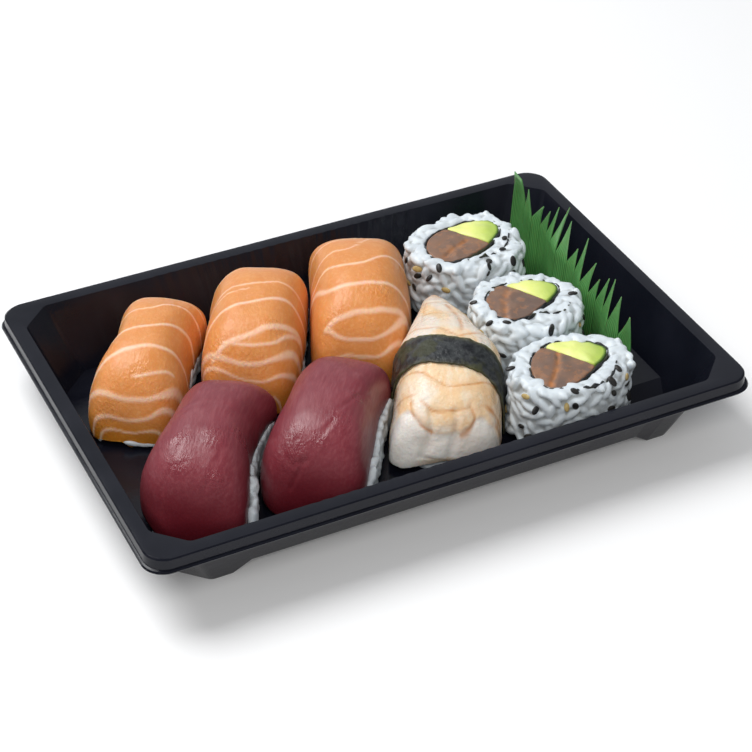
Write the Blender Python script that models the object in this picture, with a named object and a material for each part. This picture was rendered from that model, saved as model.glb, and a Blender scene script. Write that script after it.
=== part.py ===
"""A takeaway sushi tray with its food, in metres at real size.

A thermoformed tray with a flat rim, a rolled lip and four foot pockets holds three salmon
nigiri, two tuna nigiri, a prawn nigiri with a seaweed band, three inside-out rolls and a
strip of plastic grass. The origin is on the ground under the middle of the tray, +X runs
along the tray and +Y from its front to its back.
"""

import math
import random

import bmesh
import bpy
from mathutils import Euler, Matrix, Vector
from mathutils.bvhtree import BVHTree

MM = 0.001
GAP = 0.35 * MM  # left between pieces that touch

# Tray: its flat rim, the opening inside it and the levels above the ground
RIM_LENGTH = 188.0 * MM
RIM_WIDTH = 129.2 * MM
RIM_FLAT = 4.4 * MM
TRAY_HEIGHT = 23.0 * MM
SHEET = 0.8 * MM
FLOOR_TOP = 5.1 * MM
WALL_DRAFT = 0.355  # how far a wall leans in for each unit that it drops
OPENING_CUT = 9.0 * MM  # corner chamfer of the opening
OPENING_RADIUS = 3.0 * MM
RIM_CUT = 3.8 * MM
RIM_RADIUS = 6.4 * MM
FOOT_START_X = 62.5 * MM  # where the foot pockets begin, from the middle
FOOT_START_Y = 33.5 * MM
FOOT_SLOPE = 1.2  # run of a pocket's inner side for each unit that it drops

FOOD_LEVEL = FLOOR_TOP + GAP

# Nigiri: the middle of the near and far ends on the floor of the tray, then the slice's height
# and its half widths to the left and right at five even places from its near to its far end;
# an edge is how high the slice's side hangs above the floor at its near and far end, square is
# how boxy its far left and far right corners are, and rice is how far the rice stands out past
# the slice's left or right edge at its near and far end
NIGIRI = {
    "salmon_1": dict(near=(-74.8, 4.6), far=(-45.9, 50.2), height=25.8,
                     left=(14.6, 14.4, 10.6, 11.8, 13.0), right=(15.0, 14.0, 12.8, 13.8, 17.0),
                     left_edge=(2.0, 3.0), right_edge=(2.0, 8.0), square=(0.0, 1.0),
                     left_rice=(-0.5, -0.5), right_rice=(-0.5, -0.5)),
    "salmon_2": dict(near=(-38.2, 3.2), far=(-13.0, 50.4), height=27.2,
                     left=(15.0, 15.2, 14.8, 14.8, 13.6), right=(15.0, 15.2, 15.4, 15.4, 17.0),
                     left_edge=(2.0, 2.0), right_edge=(2.0, 8.0), square=(0.0, 1.0),
                     left_rice=(-0.5, -0.5), right_rice=(-0.5, -0.5)),
    "salmon_3": dict(near=(-2.6, -0.2), far=(20.8, 50.6), height=28.4,
                     left=(14.6, 15.4, 15.2, 15.6, 18.0), right=(15.0, 15.6, 16.0, 15.1, 15.6),
                     left_edge=(2.0, 9.0), right_edge=(3.0, 6.0), square=(1.0, 1.0),
                     left_rice=(-0.5, -0.5), right_rice=(-0.5, -0.5)),
    "tuna_1": dict(near=(-75.2, -46.0), far=(-44.4, 0.6), height=28.0,
                   left=(12.0, 18.2, 15.2, 13.6, 14.0), right=(16.5, 13.4, 11.2, 12.6, 18.2),
                   left_edge=(4.0, 4.0), right_edge=(8.0, 12.0), square=(0.0, 1.0),
                   left_rice=(-0.5, -0.5), right_rice=(2.8, -0.8)),
    "tuna_2": dict(near=(-41.6, -48.9), far=(-8.4, -4.0), height=27.2,
                   left=(16.0, 16.8, 15.2, 14.4, 14.0), right=(16.0, 14.4, 13.4, 13.4, 16.8),
                   left_edge=(3.0, 3.0), right_edge=(9.0, 11.0), square=(0.0, 1.0),
                   left_rice=(-0.5, -0.5), right_rice=(2.0, 0.6)),
}
SLICE_THICKNESS = 4.4 * MM
SLICE_COLOUR = {"salmon": (0.76, 0.30, 0.10), "tuna": (0.21, 0.03, 0.05)}

# Prawn: near and far ends, then distance from the near end, half width, ridge height, edge
# height and shift to the right of its cross-sections
PRAWN_NEAR = (3.0, -46.0)
PRAWN_FAR = (30.0, 15.5)
PRAWN_THICKNESS = 4.2 * MM
PRAWN_SECTIONS = (
    (1.0, 12.0, 9.0, 1.5, -1.5), (4.0, 15.0, 15.5, 1.5, -0.8), (10.0, 16.0, 20.0, 2.0, 0.2),
    (18.0, 15.9, 22.5, 3.0, 1.2), (28.0, 15.8, 23.8, 5.0, 2.2), (37.0, 15.2, 23.6, 10.0, 2.6),
    (45.0, 11.2, 22.4, 12.0, 1.5), (52.0, 8.4, 20.8, 13.0, 1.4), (59.0, 5.2, 18.8, 13.8, 0.5),
    (63.5, 3.6, 17.4, 14.2, 0.1),
)
PRAWN_NEAR_LIFT = 3.2 * MM  # of the middle of the near end, above the floor
PRAWN_TIP_HEIGHT = 15.5 * MM
PRAWN_RICE_END = 48.5 * MM
BAND_START = 21.0 * MM
BAND_END = 33.5 * MM
BAND_SKEW = 0.22  # how far the band's right side runs towards the near end
BAND_THICKNESS = 0.5 * MM

# Inside-out rolls: middle and half sizes, the outline of the seaweed ring inside, and how the
# seam between avocado and salmon lies in the ring, seen from above
ROLLS = (
    dict(centre=(48.6, 29.8), half=(18.7, 16.8), seam_turn=-55.0, seam_shift=3.0, seed=3,
         ring=((61.6, 31.4), (61.6, 36.4), (56.0, 39.2), (49.0, 39.2), (41.5, 37.8), (36.4, 33.4),
               (35.0, 27.4), (37.4, 22.6), (43.4, 21.2), (50.0, 23.2), (56.6, 26.4))),
    dict(centre=(49.9, -7.4), half=(17.0, 15.8), seam_turn=-60.0, seam_shift=2.6, seed=8,
         ring=((62.2, -5.2), (61.0, -1.6), (56.4, 1.8), (51.0, 3.0), (44.0, 2.8), (39.0, -1.4),
               (37.4, -7.4), (39.8, -13.0), (46.0, -14.6), (52.6, -11.6), (58.4, -9.2))),
    dict(centre=(46.0, -40.2), half=(18.8, 14.8), seam_turn=-58.0, seam_shift=3.2, seed=15,
         ring=((59.2, -38.6), (56.8, -34.4), (50.8, -30.6), (44.8, -29.8), (39.2, -31.6), (35.0, -36.4),
               (33.0, -42.6), (34.4, -48.0), (38.4, -50.2), (44.4, -49.0), (51.0, -45.6), (56.4, -42.6))),
)
ROLL_HEIGHT = 22.3 * MM
RING_THICKNESS = 0.5 * MM
ROLL_POINTS = 28

GRAIN_SIZE = Vector((5.4, 2.3, 2.1)) * MM
SEED_SIZE = Vector((3.2, 1.7, 1.1)) * MM

# Grass strip: its foot runs from back to front beside the right wall; for each blade the
# place of its foot along Y, of its tip along Y, the tip's height above the floor and how far
# it leans out
GRASS_BACK = (75.0, 49.0)
GRASS_FRONT = (66.3, -38.5)
GRASS_THICKNESS = 0.35 * MM
GRASS_BLADES = (
    (49.0, 40.0, 45.8, 30.0, 0.6), (40.0, 33.0, 37.5, 29.5, 2.0), (33.0, 28.0, 28.0, 28.5, 2.5),
    (28.0, 24.0, 24.5, 28.5, 2.5), (24.0, 19.5, 24.0, 29.5, 6.0), (19.5, 14.0, 22.5, 29.5, 10.5),
    (14.0, 8.0, 16.5, 28.5, 8.0), (8.0, 2.5, 6.0, 25.5, 4.0), (2.5, -3.5, 4.5, 29.5, 8.0),
    (-3.5, -9.0, -6.5, 28.0, 5.5), (-9.0, -13.0, -11.5, 25.5, 3.5), (-13.0, -18.0, -16.0, 28.5, 4.0),
    (-18.0, -23.5, -18.5, 29.5, 6.0), (-23.5, -30.0, -26.0, 28.5, 4.5), (-30.0, -38.5, -35.0, 27.5, 1.5),
)
GRASS_VALLEY_BACK = 21.5 * MM  # height of the notches between blades, at either end
GRASS_VALLEY_FRONT = 15.5 * MM

STATION_ANGLES = (-84, -74, -60, -42, -20, 0, 20, 42, 60, 74, 84)
ARCH_ANGLES = (-90, -66, -44, -22, 0, 22, 44, 66, 90)


def clear_scene():
    for item in list(bpy.data.objects):
        bpy.data.objects.remove(item, do_unlink=True)


def new_collection(name):
    collection = bpy.data.collections.new(name)
    bpy.context.scene.collection.children.link(collection)
    return collection


def plain_material(name, colour, roughness):
    material = bpy.data.materials.new(name)
    material.use_nodes = True
    shader = material.node_tree.nodes["Principled BSDF"]
    shader.inputs["Base Color"].default_value = (*colour, 1.0)
    shader.inputs["Roughness"].default_value = roughness
    shader.inputs["Metallic"].default_value = 0.0
    return material


def finish_mesh(name, mesh, collection, material=None, crease=40.0):
    """Turn a bmesh into a named, smooth-shaded object with its faces pointing out."""
    bmesh.ops.recalc_face_normals(mesh, faces=mesh.faces)
    data = bpy.data.meshes.new(name)
    mesh.to_mesh(data)
    mesh.free()
    data.shade_smooth()
    data.set_sharp_from_angle(angle=math.radians(crease))
    if material:
        data.materials.append(material)
    item = bpy.data.objects.new(name, data)
    collection.objects.link(item)
    return item


def loft(mesh, loops, ring=False):
    """Join loops of equal length by quads; a ring joins the last to the first."""
    rows = [[mesh.verts.new(point) for point in loop] for loop in loops]
    pairs = list(zip(rows, rows[1:]))
    if ring:
        pairs.append((rows[-1], rows[0]))
    for lower, upper in pairs:
        for index in range(len(lower)):
            after = (index + 1) % len(lower)
            mesh.faces.new((lower[index], lower[after], upper[after], upper[index]))
    if not ring:
        mesh.faces.new(rows[0][::-1])
        mesh.faces.new(rows[-1])
    return rows


def boolean(target, operation, operands, solver="EXACT"):
    """Apply a Boolean with the given objects and remove them."""
    group = new_collection("boolean_operands")
    for item in operands:
        for owner in list(item.users_collection):
            owner.objects.unlink(item)
        group.objects.link(item)
    modifier = target.modifiers.new("Boolean", "BOOLEAN")
    modifier.operation = operation
    modifier.operand_type = "COLLECTION"
    modifier.collection = group
    modifier.solver = solver
    depsgraph = bpy.context.evaluated_depsgraph_get()
    result = bpy.data.meshes.new_from_object(target.evaluated_get(depsgraph))
    target.modifiers.clear()
    target.data = result
    for item in operands:
        bpy.data.objects.remove(item, do_unlink=True)
    bpy.data.collections.remove(group)


def smooth_mesh(item, crease=40.0):
    item.data.shade_smooth()
    item.data.set_sharp_from_angle(angle=math.radians(crease))


# Tray

def rounded_octagon(half_x, half_y, cut, radius, steps=3):
    """A rectangle with chamfered corners, each of whose eight corners is an arc."""
    corners = []
    for sign_x, sign_y, first_along_y in ((1, 1, True), (-1, 1, False), (-1, -1, True), (1, -1, False)):
        on_side = (sign_x * half_x, sign_y * (half_y - cut))
        on_end = (sign_x * (half_x - cut), sign_y * half_y)
        corners += [on_side, on_end] if first_along_y else [on_end, on_side]
    tangent = radius * math.tan(math.radians(22.5))
    points = []
    for index, corner in enumerate(corners):
        here = Vector(corner)
        before = (Vector(corners[index - 1]) - here).normalized()
        after = (Vector(corners[(index + 1) % len(corners)]) - here).normalized()
        start = here + before * tangent
        middle = start + Vector((before.y, -before.x)) * radius
        for step in range(steps):
            turn = math.radians(45.0 * step / (steps - 1))
            arm = Matrix.Rotation(turn, 2) @ (start - middle)
            points.append(middle + arm)
    return points


def wall_offset(height):
    """How far the wall's inner face stands outside the opening's edge at a height."""
    return (height - TRAY_HEIGHT) * WALL_DRAFT


def tray_loop(offset, height):
    """The tray's outline at an offset outside the opening's edge."""
    across_rim = min(1.0, max(0.0, offset / RIM_FLAT))
    cut = OPENING_CUT + (RIM_CUT - OPENING_CUT) * across_rim
    radius = OPENING_RADIUS + (RIM_RADIUS - OPENING_RADIUS) * across_rim
    half_x = RIM_LENGTH / 2 - RIM_FLAT + offset
    half_y = RIM_WIDTH / 2 - RIM_FLAT + offset
    return [(point.x, point.y, height) for point in rounded_octagon(half_x, half_y, cut, radius)]


def tub(name, low, high, outward, collection):
    """The solid that fills the tray's walls between two heights."""
    mesh = bmesh.new()
    loft(mesh, [tray_loop(wall_offset(height) + outward, height) for height in (low, high)])
    return finish_mesh(name, mesh, collection)


def floor_bars(top, bottom, outward, collection):
    """Two crossed bars that leave only the four foot pockets below the floor."""
    bars = []
    long_side = RIM_LENGTH
    for along_x in (True, False):
        mesh = bmesh.new()
        loops = []
        for height in (bottom, top):
            spread = (top - height) * FOOT_SLOPE - outward
            half_x = long_side if along_x else FOOT_START_X + spread
            half_y = FOOT_START_Y + spread if along_x else long_side
            loops.append([(x, y, height) for x, y in
                          ((half_x, half_y), (-half_x, half_y), (-half_x, -half_y), (half_x, -half_y))])
        loft(mesh, loops)
        bars.append(finish_mesh("floor_bar", mesh, collection))
    return bars


def rim_ring(collection):
    """The flat rim, its skirt and the rolled lip, as one closed ring."""
    top = TRAY_HEIGHT
    section = (
        (-2.0, top), (4.1 * MM, top), (RIM_FLAT, top - 0.4 * MM), (4.6 * MM, top - 3.3 * MM),
        (5.1 * MM, top - 3.4 * MM), (5.4 * MM, top - 3.9 * MM), (5.1 * MM, top - 4.4 * MM),
        (4.4 * MM, top - 4.4 * MM), (3.9 * MM, top - 3.6 * MM), (3.6 * MM, top - SHEET),
        (-2.0, top - SHEET),
    )
    mesh = bmesh.new()
    loops = []
    for offset, height in section:
        inside = offset < 0.0
        loops.append(tray_loop(-1.5 * MM if inside else offset, height))
    loft(mesh, loops, ring=True)
    return finish_mesh("rim", mesh, collection)


def build_tray(collection, scrap):
    outer = tub("outer_tub", 0.0, TRAY_HEIGHT - SHEET / 2, SHEET, scrap)
    boolean(outer, "DIFFERENCE", floor_bars(FLOOR_TOP - SHEET, -1.0 * MM, SHEET, scrap))
    boolean(outer, "UNION", [rim_ring(scrap)])
    inner = tub("inner_tub", SHEET, TRAY_HEIGHT + 1.0 * MM, 0.0, scrap)
    boolean(inner, "DIFFERENCE", floor_bars(FLOOR_TOP, -1.0 * MM, 0.0, scrap))
    boolean(outer, "DIFFERENCE", [inner])
    tray = bpy.data.objects.new("tray", outer.data)
    bpy.data.objects.remove(outer, do_unlink=True)
    tray.data.materials.clear()
    tray.data.materials.append(plain_material("black_plastic", (0.012, 0.012, 0.016), 0.25))
    smooth_mesh(tray, 30.0)
    collection.objects.link(tray)
    return tray


# Nigiri

def dome(fraction, fullness):
    """What is left of a size at a fraction of the way out: 1 in the middle, 0 at the end."""
    return max(0.0, 1.0 - abs(fraction) ** fullness) ** (1.0 / fullness)


def through(values, share):
    """The height at a share, from -1 to 1, of a smooth curve through evenly spaced values."""
    spot = (share + 1.0) / 2.0 * (len(values) - 1)
    low = min(int(spot), len(values) - 2)
    t = spot - low
    start, end = values[low], values[low + 1]
    before = values[low - 1] if low > 0 else 2 * start - end
    after = values[low + 2] if low + 2 < len(values) else 2 * end - start
    return 0.5 * (2 * start + (end - before) * t + (2 * before - 5 * start + 4 * end - after) * t ** 2
                  + (3 * start - before - 3 * end + after) * t ** 3)


def placed(near, far):
    """A function that takes a point across, along and up to the world, and the half length."""
    near = Vector((*near, 0.0)) * MM
    far = Vector((*far, 0.0)) * MM
    along = (far - near).normalized()
    across = Vector((along.y, -along.x, 0.0))
    middle = (near + far) / 2

    def place(x, y, z):
        return middle + across * x + along * y + Vector((0.0, 0.0, FOOD_LEVEL + z))

    return place, (far - near).length / 2


def slice_section(form, half_length, sine, inset):
    """Half widths, ridge and edges of a nigiri at one place along it, some way inside."""
    ridge_left = dome(sine, 2.6 if sine < 0 else 2.8)
    plan_left = dome(sine, 4.6)
    return dict(
        along=(half_length - inset) * sine, shift=0.0,
        ridge=(form["height"] * MM - inset) * ridge_left,
        halves=[(through(form[side], sine) * MM - inset) * plan_left for side in ("left", "right")],
        edges=[through(form[side], sine) * MM * ridge_left for side in ("left_edge", "right_edge")],
        rice=[through(form[side], sine) * MM * ridge_left for side in ("left_rice", "right_rice")],
        square=[max(0.0, sine) * share for share in form["square"]])


def arch(section, lowest=0.0):
    """Points across a section from its left edge over the ridge to its right edge."""
    points = []
    for degrees in ARCH_ANGLES:
        angle = math.radians(degrees)
        side = 0 if degrees < 0 else 1
        edge = max(lowest, section["edges"][side])
        square = section["square"][side]
        wide = math.copysign(abs(math.sin(angle)) ** (0.72 - 0.14 * square), angle)
        tall = max(0.0, math.cos(angle)) ** (0.8 - 0.35 * square)
        points.append((section["shift"] + section["halves"][side] * wide,
                       edge + (section["ridge"] - edge) * tall))
    return points


def draped_shell(mesh, place, outer, inner, outer_poles, inner_poles):
    """A closed sheet between two rows of arches, each drawn together at its two ends."""
    grids = []
    for sections, poles in ((outer, outer_poles), (inner, inner_poles)):
        rows = [[mesh.verts.new(place(x, section["along"], z)) for x, z in arch(section)]
                for section in sections]
        ends = [mesh.verts.new(place(*pole)) for pole in poles]
        for row, after in zip(rows, rows[1:]):
            for index in range(len(row) - 1):
                mesh.faces.new((row[index], row[index + 1], after[index + 1], after[index]))
        for end, row in ((ends[0], rows[0]), (ends[1], rows[-1])):
            for index in range(len(row) - 1):
                mesh.faces.new((end, row[index], row[index + 1]))
        grids.append((rows, ends))
    for side in (0, -1):
        lines = [[ends[0]] + [row[side] for row in rows] + [ends[1]] for rows, ends in grids]
        for index in range(len(lines[0]) - 1):
            mesh.faces.new((lines[0][index], lines[0][index + 1], lines[1][index + 1], lines[1][index]))


def rice_loop(place, section, foot_halves):
    """One closed cross-section of a rice ball that bulges under the edges of its slice."""
    lowered = dict(section, edges=[edge - GAP for edge in section["edges"]])
    points = arch(lowered, lowest=0.5 * MM)
    loop = []
    for side, sign in ((0, -1), (1, 1)):
        half, edge = section["halves"][side], section["edges"][side]
        shoulder = max(0.5 * MM, edge - GAP)
        room = half + (foot_halves[side] - half) * min(1.0, edge / (3.0 * MM))
        centre = section["shift"]
        flank = [(centre + sign * (room - 0.8 * MM), 0.0), (centre + sign * room, shoulder * 0.4),
                 (centre + sign * (room - 0.3 * MM), shoulder * 0.9)]
        loop += flank if side == 0 else flank[::-1]
        if side == 0:
            loop += points
    return [place(x, section["along"], z) for x, z in loop]


def rice_feet(cover):
    """How far the rice reaches to either side under a section of its slice."""
    return [half + out for half, out in zip(cover["halves"], cover["rice"])]


def build_nigiri(name, form, collection):
    """A slice of fish draped over a pressed ball of rice."""
    place, half_length = placed(form["near"], form["far"])
    sines = [math.sin(math.radians(degrees)) for degrees in STATION_ANGLES]
    outer = [slice_section(form, half_length, sine, 0.0) for sine in sines]
    inner = [slice_section(form, half_length, sine, SLICE_THICKNESS) for sine in sines]
    poles = [[(0.0, sign * (half_length - inset), 0.0) for sign in (-1, 1)]
             for inset in (0.0, SLICE_THICKNESS)]
    mesh = bmesh.new()
    draped_shell(mesh, place, outer, inner, *poles)
    kind, number = name.split("_")
    finish_mesh(f"{kind}_slice_{number}", mesh, collection,
                plain_material(f"{kind}_flesh_{number}", SLICE_COLOUR[kind], 0.35))
    rice_sections = [slice_section(form, half_length, sine, SLICE_THICKNESS + GAP) for sine in sines]
    loops = []
    for section, cover in zip(rice_sections, outer):
        loops.append(rice_loop(place, section, rice_feet(cover)))
    mesh = bmesh.new()
    loft(mesh, loops)
    return finish_mesh(f"{kind}_rice_{number}", mesh, collection,
                       plain_material(f"{kind}_rice_{number}", (0.80, 0.80, 0.76), 0.5))


# Prawn nigiri

def prawn_section(row, inset):
    along, half, ridge, edge, shift = (value * MM for value in row)
    return dict(along=along, halves=[half - inset] * 2, ridge=ridge - inset, shift=shift, edges=[edge] * 2,
                square=[0.0] * 2)


def build_prawn(collection):
    """A butterflied prawn over rice, its tail past the far end, held by a seaweed band."""
    place_from_middle, half_length = placed(PRAWN_NEAR, PRAWN_FAR)

    def place(x, y, z):
        return place_from_middle(x, y - half_length, z)

    outer = [prawn_section(row, 0.0) for row in PRAWN_SECTIONS]
    last_row = PRAWN_SECTIONS[-1][0]
    hollow = PRAWN_RICE_END - PRAWN_THICKNESS
    stations = [PRAWN_THICKNESS + row[0] / last_row * hollow for row in PRAWN_SECTIONS]
    inner = [along_prawn(along, PRAWN_THICKNESS) for along in stations]
    mesh = bmesh.new()
    tail = (0.0, half_length * 2, PRAWN_TIP_HEIGHT)
    inner_end = (0.0, PRAWN_RICE_END + 1.5 * MM, inner[-1]["edges"][0] + 2.0 * MM)
    draped_shell(mesh, place, outer, inner,
                 [(0.0, 0.0, PRAWN_NEAR_LIFT), tail], [(0.0, PRAWN_THICKNESS, PRAWN_NEAR_LIFT), inner_end])
    finish_mesh("prawn", mesh, collection, plain_material("cooked_prawn", (0.85, 0.60, 0.42), 0.35))

    loops = []
    for along in [stations[0] + GAP] + stations[1:-1]:
        section = along_prawn(along, PRAWN_THICKNESS + 2 * GAP)
        section["edges"] = [max(0.5 * MM, edge - 2.0 * MM) for edge in section["edges"]]
        loops.append(rice_loop(place, section, [half + 2.0 * MM for half in section["halves"]]))
    mesh = bmesh.new()
    loft(mesh, loops)
    rice = finish_mesh("prawn_rice", mesh, collection, plain_material("prawn_rice", (0.80, 0.80, 0.76), 0.5))

    mesh = bmesh.new()
    band_loops = []
    for step in range(4):
        along = BAND_START + (BAND_END - BAND_START) * step / 3
        outer_line = band_line(along, BAND_THICKNESS)
        inner_line = band_line(along, 0.0)
        band_loops.append([place(*point) for point in outer_line + inner_line[::-1]])
    loft(mesh, band_loops)
    finish_mesh("seaweed_band", mesh, collection, plain_material("band_seaweed", (0.02, 0.03, 0.02), 0.5))
    return rice


def band_line(along, outward):
    """A line across the band from the floor on its left over the prawn to the floor."""
    grow = GAP * 1.5 + outward
    rough = arch(along_prawn(along, -grow))
    line = []
    for index, (across, _) in enumerate(rough):
        moved = along - BAND_SKEW * across
        x, z = arch(along_prawn(moved, -grow))[index]
        line.append((x, moved, z))
    first, last = line[0], line[-1]
    return [(first[0], first[1], 0.0)] + line + [(last[0], last[1], 0.0)]


def along_prawn(along, inset):
    """The prawn's cross-section at a distance from its near end, by its neighbours."""
    rows = PRAWN_SECTIONS
    distance = min(max(along / MM, rows[0][0]), rows[-1][0])
    for low, high in zip(rows, rows[1:]):
        if distance <= high[0]:
            share = (distance - low[0]) / (high[0] - low[0])
            row = [a + (b - a) * share for a, b in zip(low, high)]
            break
    section = prawn_section(row, inset)
    section["along"] = along
    return section


# Inside-out rolls

def lumpy_outline(centre, half, turn, lumps, points=ROLL_POINTS, grow=0.0):
    """A rounded outline whose radius swells and shrinks by a few waves."""
    outline = []
    for index in range(points):
        angle = math.tau * index / points
        swell = 1.0 + sum(size * math.cos(order * angle + phase) for order, size, phase in lumps)
        point = Vector((half.x * math.cos(angle) * swell, half.y * math.sin(angle) * swell))
        outward = Vector((math.cos(angle) * half.y, math.sin(angle) * half.x)).normalized()
        outline.append(centre + Matrix.Rotation(turn, 2) @ (point + outward * grow))
    return outline


def ring_outline(stops, grow, points=ROLL_POINTS):
    """A smooth closed outline through a few places, at even angles round their middle."""
    stops = [Vector(stop) * MM for stop in stops]
    middle = sum(stops, Vector((0.0, 0.0))) / len(stops)
    course = []
    for index in range(len(stops)):
        four = [stops[(index + step) % len(stops)] for step in (-1, 0, 1, 2)]
        for step in range(12):
            spot = Vector([through([stop[axis] for stop in four], (step / 12 - 0.5) * 2 / 3) for axis in (0, 1)])
            course.append(spot - middle)
    outline = []
    for index in range(points):
        angle = math.tau * index / points
        heading = Vector((math.cos(angle), math.sin(angle)))
        for start, end in zip(course, course[1:] + course[:1]):
            before, after = heading.cross(start), heading.cross(end)
            if before <= 0.0 < after and heading.dot(start) > 0.0:
                outline.append(middle + start.lerp(end, before / (before - after)))
                break
    moved = []
    for index, here in enumerate(outline):
        step = (outline[(index + 1) % points] - outline[index - 1]).normalized()
        moved.append(here + Vector((step.y, -step.x)) * grow)
    return moved


def clip(outline, origin, normal):
    """The part of an outline on the side of a line that its normal points to."""
    kept = []
    for index, here in enumerate(outline):
        after = outline[(index + 1) % len(outline)]
        depth = (here - origin).dot(normal)
        next_depth = (after - origin).dot(normal)
        if depth >= 0.0:
            kept.append(here)
        if depth * next_depth < 0.0:
            kept.append(here + (after - here) * (depth / (depth - next_depth)))
    return kept


def prism(name, outline, bottom, top, crown, collection, material):
    """An outline drawn up to a height, with a low crown on top."""
    middle = sum(outline, Vector((0.0, 0.0))) / len(outline)
    mesh = bmesh.new()
    loops = [[(point.x, point.y, height) for point in outline] for height in (bottom, top)]
    loops.append([(*(middle + (point - middle) * 0.82), top + crown) for point in outline])
    loft(mesh, loops)
    return finish_mesh(name, mesh, collection, material)


def build_roll(number, form, collection):
    """Rice rolled inside out round a seaweed ring with salmon and avocado, cut across."""
    centre = Vector(form["centre"]) * MM
    half = Vector(form["half"]) * MM
    draw = random.Random(form["seed"])
    lumps = [(order, size, draw.uniform(0.0, math.tau)) for order, size in
             ((2, 0.020), (3, 0.030), (4, 0.018), (6, 0.014))]
    ring_centre = sum((Vector(stop) for stop in form["ring"]), Vector((0.0, 0.0))) * MM / len(form["ring"])

    def ring(grow):
        return ring_outline(form["ring"], grow)

    def outer(grow, twist):
        moved = [(order, size, phase + twist) for order, size, phase in lumps]
        return lumpy_outline(centre, half, 0.0, moved, grow=grow)

    top = FOOD_LEVEL + ROLL_HEIGHT
    levels = ((0.0, -1.4, 0.0), (0.12, -0.2, 0.1), (0.45, 0.3, 0.25), (0.8, 0.0, 0.4), (0.95, -0.8, 0.4),
              (1.0, -1.8, 0.4))
    hole = ring(RING_THICKNESS + GAP)
    loops = [[(point.x, point.y, FOOD_LEVEL) for point in hole]]
    for share, grow, twist in levels:
        height = FOOD_LEVEL + ROLL_HEIGHT * share
        loops.append([(point.x, point.y, height) for point in outer(grow * MM, twist)])
    loops.append([(point.x, point.y, top) for point in hole])
    mesh = bmesh.new()
    loft(mesh, loops, ring=True)
    rice = finish_mesh(f"roll_rice_{number}", mesh, collection,
                       plain_material(f"roll_rice_{number}", (0.80, 0.80, 0.76), 0.5))

    mesh = bmesh.new()
    loops = []
    for grow, height in ((RING_THICKNESS, FOOD_LEVEL), (RING_THICKNESS, top - 0.1 * MM),
                         (0.0, top - 0.1 * MM), (0.0, FOOD_LEVEL)):
        loops.append([(point.x, point.y, height) for point in ring(grow)])
    loft(mesh, loops, ring=True)
    finish_mesh(f"roll_seaweed_{number}", mesh, collection,
                plain_material(f"roll_seaweed_{number}", (0.02, 0.03, 0.02), 0.5))

    inside = ring(-GAP)
    seam_turn = math.radians(form["seam_turn"])
    normal = Vector((-math.sin(seam_turn), math.cos(seam_turn)))
    seam = ring_centre + normal * form["seam_shift"] * MM
    fillings = ((f"roll_salmon_{number}", -1, (0.30, 0.13, 0.08), 0.4 * MM),
                (f"roll_avocado_{number}", 1, (0.55, 0.62, 0.12), 0.8 * MM))
    for name, side, colour, crown in fillings:
        part = clip(inside, seam + normal * side * GAP / 2, normal * side)
        prism(name, part, FOOD_LEVEL, top - 0.6 * MM, crown, collection, plain_material(name, colour, 0.45))
    return rice, hole, lambda grow: outer(grow, 0.4)


# Grass strip

def build_grass(collection):
    """A thin wavy strip of plastic grass, its blades cut from one sheet and leaning out."""
    def foot(along):
        share = (along - GRASS_BACK[1]) / (GRASS_FRONT[1] - GRASS_BACK[1])
        wave = 0.7 * math.sin(along * 0.32)
        return GRASS_BACK[0] + (GRASS_FRONT[0] - GRASS_BACK[0]) * share + wave

    def valley(along):
        share = (along - GRASS_BACK[1]) / (GRASS_FRONT[1] - GRASS_BACK[1])
        return GRASS_VALLEY_BACK / MM + (GRASS_VALLEY_FRONT - GRASS_VALLEY_BACK) / MM * share

    first, last = GRASS_BLADES[0], GRASS_BLADES[-1]
    columns = [(first[0], first[0], first[3], first[4])]  # the strip is cut through a blade
    for start, end, tip, height, lean in GRASS_BLADES:
        if start != first[0]:
            columns.append((start, start, valley(start), 1.5))
        columns.append(((start + end) / 2, tip, height, lean))
    columns.append((last[1], last[1], valley(last[1]), 1.5))

    mesh = bmesh.new()
    faces = []
    for side in (0.0, GRASS_THICKNESS / MM):
        rows = []
        for along, top_y, top, out in columns:
            waist = valley(along) * 0.98
            base_x = foot(along) + side
            rows.append([mesh.verts.new(Vector((x, y, z)) * MM + Vector((0.0, 0.0, FOOD_LEVEL)))
                         for x, y, z in ((base_x, along, 0.0), (base_x + 0.7, along, waist / 2),
                                         (base_x + 1.4, along, waist - 1.0), (base_x + out, top_y, top))])
        faces.append(rows)
    for rows, flip in zip(faces, (False, True)):
        for row, after in zip(rows, rows[1:]):
            for level in range(3):
                corners = [row[level], after[level], after[level + 1], row[level + 1]]
                for triangle in ((corners[0], corners[1], corners[2]), (corners[0], corners[2], corners[3])):
                    mesh.faces.new(triangle[::-1] if flip else triangle)
    front, back = faces
    for index in range(len(columns) - 1):
        for level in (0, 3):
            mesh.faces.new((front[index][level], front[index + 1][level],
                            back[index + 1][level], back[index][level]))
    for index in (0, len(columns) - 1):
        for level in range(3):
            mesh.faces.new((front[index][level], front[index][level + 1],
                            back[index][level + 1], back[index][level]))
    finish_mesh("grass_divider", mesh, collection, plain_material("green_plastic", (0.05, 0.19, 0.05), 0.4))


# Rice grains and seeds

def ellipsoid(name, size, place, turn, collection):
    mesh = bmesh.new()
    bmesh.ops.create_uvsphere(mesh, u_segments=5, v_segments=4, radius=0.5)
    lengthwise = Matrix.Rotation(math.radians(90.0), 4, "Y")
    scale = Matrix.Diagonal((*size, 1.0))
    bmesh.ops.transform(mesh, matrix=Matrix.Translation(place) @ turn.to_matrix().to_4x4() @ scale @ lengthwise,
                        verts=mesh.verts)
    return finish_mesh(name, mesh, collection)


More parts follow.
